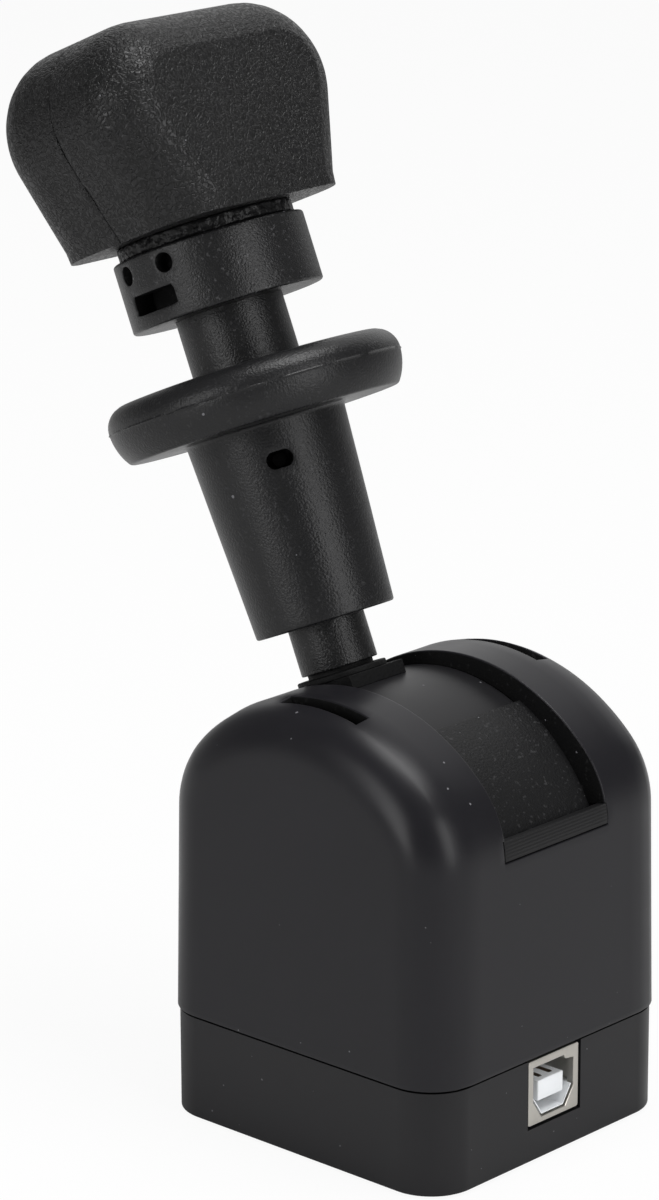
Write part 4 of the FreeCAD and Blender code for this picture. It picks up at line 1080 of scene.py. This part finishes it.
def buildRing():
    look, bore, foot, disc, top = ringLook, ringLook.bore, arm.sleeveFoot, arm.discFoot, arm.discTop
    rimLow, rimMid = (look.discFootR, disc), (look.discR, disc + look.widest)
    rimHigh = (look.shoulderR, disc + look.shoulderH)
    sleeve = roundedLine([(look.capBore, foot, 0), (look.footR, foot, 0.4), (look.topR, disc, 0.7),
                          (look.discFootR - 1.0, disc, 0)], 4)
    under = (look.discFootR + look.bulge, disc + look.widest * 0.45)
    over = (look.discR - look.fallIn, disc + look.widest * 0.4 + look.shoulderH * 0.6)
    rim = arcThrough(rimLow, under, rimMid, 9) + arcThrough(rimMid, over, rimHigh, 10)[1:]
    crown = arcThrough(rimHigh, ((look.shoulderR + bore) / 2, top - 0.12), (bore, top), 12)
    line = sleeve[:-1] + roundedLine([(*sleeve[-1], 0), (*rimLow, look.footEdge), (*rim[2], 0)], 4)
    line += rim[3:-2] + roundedLine([(*rim[-3], 0), (*rimHigh, look.topEdge), (*crown[2], 0)], 5)[1:]
    line += crown[3:-1] + roundedLine([(*crown[-2], 0), (bore, top, 0.3), (bore, top - 2, 0)], 3)
    line = fillLine(line + [(bore, foot + look.cap), (look.capBore, foot + look.cap)], 1.1)
    line.append(line[0])
    crease = min(range(len(line)), key=lambda i: dist(line[i], rimMid))
    sample, lengths = lineSampler(line)
    beside = [sample(lengths[crease] + d)[:2] for d in (-0.3, -0.14, 0.14, 0.3)]
    line[crease:crease + 1] = beside[:2] + [line[crease]] + beside[2:]
    sample, lengths = lineSampler(line)
    holeS = next(s for s, p in zip(lengths, line) if p[1] > arm.pinH)
    while sample(holeS)[1] > arm.pinH:
        holeS -= 0.005
    turn = radians(look.holeTurn)
    hole = values(u=look.meanR * pi, v=holeS, halfU=look.holeHalf, halfV=look.holeHigh,
                  corner=look.holeHigh, edge=look.holeEdge, deep=look.holeDeep, margin=0.5,
                  pull=Vector((*around(turn, -1), 0)))

    def wobble(a, r, h):
        # a faint moulding line round the rim, torn in a few places
        near = exp(-((h - disc - look.widest) / 0.12) ** 2) if r > 23 else 0.0
        torn = max(0.0, noise.noise(Vector((*around(a, 9), 1.5))) - 0.1)
        slack = 0.02 * noise.noise(Vector((*around(a, 2.2), h * 0.12)))
        return near * max(-0.12, look.mouldLine - look.tear * torn) + slack

    lathe("liftRing", line, look.segments, look.meanR, (hole,), turn - pi, wobble)


collarLook = values(
    segments=200, bore=8.83, edge=0.45, slotHalf=4.83, slotHalfH=1.575, slotH=97.15, slotDeep=4.2, holeR=1.55,
    holeTurn=16.2, holeH=102.25, holeDeep=3.2)


def buildCollar():
    look, r, low, high = collarLook, arm.collarR, arm.collarFoot, arm.collarTop
    line = fillLine(roundedLine([(look.bore, low, 0), (r, low, look.edge), (r, high, look.edge),
                                 (look.bore, high, 0)], 5), 0.9)
    line += fillLine([line[-1], line[0]], 2.0)[1:]
    sample, lengths = lineSampler(line)

    def hole(turn, height, **sizes):
        a, s = radians(turn), lengths[-1] * 0.1
        while not (sample(s)[0] > r - 0.01 and sample(s)[1] >= height):
            s += 0.01
        return values(u=r * (pi + a), v=s, pull=Vector((*around(a, -1), 0)), **sizes)

    holes = [hole(0, look.slotH, halfU=look.slotHalf, halfV=look.slotHalfH, corner=0.3, edge=0.2,
                  deep=look.slotDeep, margin=0.35)]
    holes += [hole(turn, look.holeH, halfU=look.holeR, halfV=look.holeR, corner=look.holeR, edge=0.14,
                   deep=look.holeDeep, margin=0.25) for turn in (-look.holeTurn, look.holeTurn)]
    lathe("collarRing", line, look.segments, r, holes, -pi)


seatLook = values(segments=240, rough=0.16, edge=0.5, step=0.45, hubR=9.0, hubHigh=8.0, bore=0.4)


def buildSeat():
    look, r, low, high = seatLook, arm.seatR, arm.collarTop, arm.knobFoot
    line = fillLine(roundedLine([(look.bore, low, 0), (r, low, look.edge), (r, high, look.edge),
                                 (look.hubR, high, 0)], 5), look.step)
    line += [(look.hubR, high + look.hubHigh), (look.bore, high + look.hubHigh), line[0]]

    def wobble(a, near, h):
        # torn and creased towards the rim
        if near < r - 1.5:
            return 0.0
        p = Vector((*around(a, near), h))
        creased = noise.noise(Vector((p.x * 0.55, p.y * 0.55, p.z * 1.6))) + 0.5 * noise.noise(p * 2.1)
        return -look.rough * (0.6 + creased)

    lathe("knobSeat", line, look.segments, r, wobble=wobble)


knobLook = values(
    step=0.85, halfX=18.5, flare=0.400, shoulderR=13.5, halfY=17.7, taper=0.046, edgeR=10.2, edgeFoot=9.8,
    edgeRise=24.0, flat=9.2, plain=4.4, cut=0.19, split=0.16, wander=0.14, crack=0.42, splitDeep=0.06,
    footLip=0.3)


def layeredNoise(s, coarse, fine, share):
    # noise along a length, each layer at its own scale and place
    slow, quick = (noise.noise(Vector((s * scale, *spot))) for scale, *spot in (coarse, fine))
    return slow + share * quick


def buildKnob():
    look, foot, top, r = knobLook, arm.knobFoot, arm.knobTop, knobLook.shoulderR
    lean = atan(look.flare)
    centreH = top - r
    centreX = look.halfX + look.flare * (centreH - foot) - r * hypot(1, look.flare)
    low = around(-lean, r, centreX, centreH)
    at, total, _ = pathSampler([
        ("line", (-look.halfX, foot), (-low[0], low[1])),
        ("arc", (-centreX, centreH), r, pi + lean, pi / 2),
        ("line", (-centreX, top), (centreX, top)),
        ("arc", (centreX, centreH), r, pi / 2, -lean),
        ("line", low, (look.halfX, foot))])

    def edgeAt(height):
        t = min(1.0, max(0.0, (height - foot) / look.edgeRise))
        return look.edgeFoot + (look.edgeR - look.edgeFoot) * t * t * (3 - 2 * t)

    form = archForm(at, total, look.halfY, look.taper, foot, edgeAt, look.flat, look.plain, (1, 0, 2), look.cut)
    rows = stations(0, total, look.step)
    columns = [0.0, 0.5, 1.3, 2.2, 3.2, 4.3, 5.6, 7.0, 8.1, look.flat]
    columns += [look.flat + k / 9 for k in range(1, 8)]
    columns += [look.flat + 1 - look.cut + t for t in (-0.012, 0.0, 0.02, 0.08, look.cut, 1 + look.cut)]
    n, m = len(rows) - 1, len(columns) - 1
    for side, name in ((-1, "knobFront"), (1, "knobRear")):
        bm = bmesh.new()
        grid = {}
        for i, s in enumerate(rows):
            torn = max(0.0, layeredNoise(s, (0.21, 5.0, 2.0), (1.1, 2.0, 4.0), 0.35))
            wave = layeredNoise(s, (0.16, 3.0, 1.0), (0.6, 1.0, 9.0), 0.5)
            for j, v in enumerate(columns):
                sunk, away = (0.0, 0.0) if v else (look.splitDeep + look.crack * torn, 0.01)
                p = form(s, side * (v or 1e-9), sunk)
                p.y += look.wander * wave * max(0.0, 1 - v / 2.2) + side * away
                grid[(i, j)] = bm.verts.new(p)
        for i in range(n):
            for j in range(m):
                bm.faces.new((grid[(i, j)], grid[(i + 1, j)], grid[(i + 1, j + 1)], grid[(i, j + 1)]))
        bm.faces.new([grid[(i, m)] for i in range(n + 1)])
        bm.faces.new([grid[(i, 0)] for i in range(n + 1)])
        bm.faces.new([grid[(0, j)] for j in range(m + 1)] + [grid[(n, j)] for j in range(m, -1, -1)])
        softenEdges(bm, [(grid[(i, 0)], grid[(i + 1, 0)]) for i in range(n)], look.split, 2)
        bevel(bm, [e for e in bm.edges if all(abs(v.co.z - foot) < 0.01 for v in e.verts)
                   and e.calc_face_angle(0) > 0.9 and abs(e.verts[0].co.y + e.verts[1].co.y) > 0.8],
              look.footLip, 3)
        finishPiece(name, bm, leverPlace @ toMetres, 38)


buildStem()
buildRing()
buildCollar()
buildSeat()
buildKnob()
print("stage: lever pieces made")

lockLook = values(radius=2.05, wire=0.42, turns=9.0, foot=4.0, head=11.0, lift=6.0)


def buildLockSpring(look=lockLook):
    low, high = arm.pinH + look.foot, arm.collarTop - look.head
    mesh = runTree("coil", "lockCoil", bpy.data.meshes.new("empty"), turns=look.turns,
                   coilRadius=look.radius * mm, coilHeight=(high - low - 2 * look.wire) * mm,
                   wireRadius=look.wire * mm, stepsPerTurn=28)
    mesh.transform(leverPlace @ Matrix.Translation((0, 0, (low + look.wire) * mm)))
    piece = placeMesh("lockCoil", mesh, 60)
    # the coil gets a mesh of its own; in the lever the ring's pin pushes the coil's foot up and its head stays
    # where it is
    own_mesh(piece)


buildLockSpring()

# CAD solids that stay, by finish
cadLooks = {
    "pad": "base_pad", "brass": "mount_inserts pivot_bushes", "dark": "case_screws collar_screws",
    "zinc": "pivot_frame frame_screws board_screws pivot_axle lock_rod gate_pin", "cast": "lock_gates rotor",
    "spring": "return_springs axle_clips", "board": "main_board sensor_board", "nickel": "sensor_magnet",
    # the ring's pin is painted near black: painted shade in its hole
    "chip": "board_parts sensor_header sensor_chip", "shade": "ring_pin", "shutter": "tail_shutter",
}
for look, names in cadLooks.items():
    for name in names.split():
        mesh = frame["nodes"][name].data
        mesh.materials.clear()
        mesh.materials.append(finish[look])
print("stage: inner pieces finished")

# floor, light and camera
setLook = values(
    floorShare=0.93, floorGrey=0.72, world=0.36, mirrorLow=0.16, ringLow=0.02, ringHigh=0.14, ring=0.5,
    sweepFrom=(-0.75, -0.45, 0.48), sweepLow=0.66, sweepHigh=0.95)


def buildFloor():
    bm = bmesh.new()
    bmesh.ops.create_grid(bm, x_segments=4, y_segments=4, size=4.0)
    mesh = bpy.data.meshes.new("floor")
    bm.to_mesh(mesh)
    bm.free()
    made, tree, shader = startMaterial("paleFloor")
    for key, value in (("Base Color", (*[setLook.floorGrey] * 3, 1.0)), ("Roughness", 0.9),
                       ("Specular IOR Level", 0.0)):
        shader[key].default_value = value
    glow = node(tree, "ShaderNodeEmission", {"Color": (1, 1, 1, 1), "Strength": 1.0})
    rays = node(tree, "ShaderNodeLightPath")
    seen = maths(tree, "MULTIPLY", rays["Is Camera Ray"], setLook.floorShare)
    mix = node(tree, "ShaderNodeMixShader", {0: seen, 1: tree.nodes["Principled BSDF"].outputs[0],
                                             2: glow[0]})
    feed(tree, tree.nodes["Material Output"].inputs["Surface"], mix[0])
    mesh.materials.append(made)
    addObject("floor", mesh)


def buildWorld(look=setLook):
    # a white backdrop behind the object and a pale ring along the floor; the rest of the room is darker
    world = bpy.data.worlds.new("studio")
    bpy.context.scene.world = world
    world.use_nodes = True
    tree = world.node_tree
    rays = node(tree, "ShaderNodeLightPath")
    direction = node(tree, "ShaderNodeTexCoord")["Generated"]
    facing = node(tree, "ShaderNodeVectorMath", {0: direction, 1: Vector(look.sweepFrom).normalized()},
                  operation="DOT_PRODUCT")["Value"]
    height = node(tree, "ShaderNodeSeparateXYZ", {0: direction})["Z"]
    ring = maths(tree, "MULTIPLY", ramp(tree, height, look.ringHigh, look.ringLow), look.ring)
    bright = maths(tree, "MAXIMUM", ramp(tree, facing, look.sweepLow, look.sweepHigh), ring)
    sweep = maths(tree, "MAXIMUM", bright, look.mirrorLow)
    mirrored = maths(tree, "MAXIMUM", rays["Is Glossy Ray"], rays["Is Transmission Ray"])
    lit = maths(tree, "MULTIPLY_ADD", mirrored, maths(tree, "SUBTRACT", sweep, look.world), look.world)
    camera = rays["Is Camera Ray"]
    strength = maths(tree, "MULTIPLY_ADD", lit, maths(tree, "SUBTRACT", 1.0, camera), camera)
    back = tree.nodes["Background"].inputs
    feed(tree, back["Color"], (1, 1, 1, 1))
    feed(tree, back["Strength"], strength)


lampLook = {
    "overhead": values(spot=(-0.08, 0.12, 1.05), size=(0.46, 0.62), watts=8.2),
    "tallRight": values(spot=(0.03, 0.96, 0.42), size=(0.52, 0.80), watts=4.5),
    "tallLeft": values(spot=(0.94, -0.08, 0.37), size=(0.36, 0.68), watts=3.35),
}
lampAim = (0, 0, 0.07)


def buildLamps():
    for name, look in lampLook.items():
        data = bpy.data.lights.new(name, "AREA")
        data.shape = "RECTANGLE"
        data.size, data.size_y = look.size
        data.energy = look.watts
        lamp = addObject(name, data)
        lamp.location = look.spot
        lamp.rotation_euler = (Vector(look.spot) - Vector(lampAim)).to_track_quat("Z", "Y").to_euler()


cameraLook = values(
    azimuth=132.8, elevation=16.783, roll=-0.227, distance=742.896, right=-13.685, up=80.592, lens=138.74,
    lift=0.4)


def buildCamera(look=cameraLook):
    az, el, roll = (radians(look[key]) for key in ("azimuth", "elevation", "roll"))
    back = Vector((sin(az) * cos(el), -cos(az) * cos(el), sin(el)))
    level = Vector((cos(az), sin(az), 0))
    upright = back.cross(level)
    right = level * cos(roll) + upright * sin(roll)
    up = upright * cos(roll) - level * sin(roll)
    spot = back * look.distance + right * look.right + up * look.up + Vector((0, 0, look.lift))
    data = bpy.data.cameras.new("photoView")
    data.lens, data.sensor_width, data.clip_start, data.clip_end = look.lens, 36.0, 0.05, 30.0
    camera = addObject("photoView", data)
    camera.matrix_world = Matrix((*zip(right, up, back, spot * mm), (0, 0, 0, 1)))
    bpy.context.scene.camera = camera


buildFloor()
buildWorld()
buildLamps()
buildCamera()
bpy.context.scene.view_settings.view_transform = "Standard"
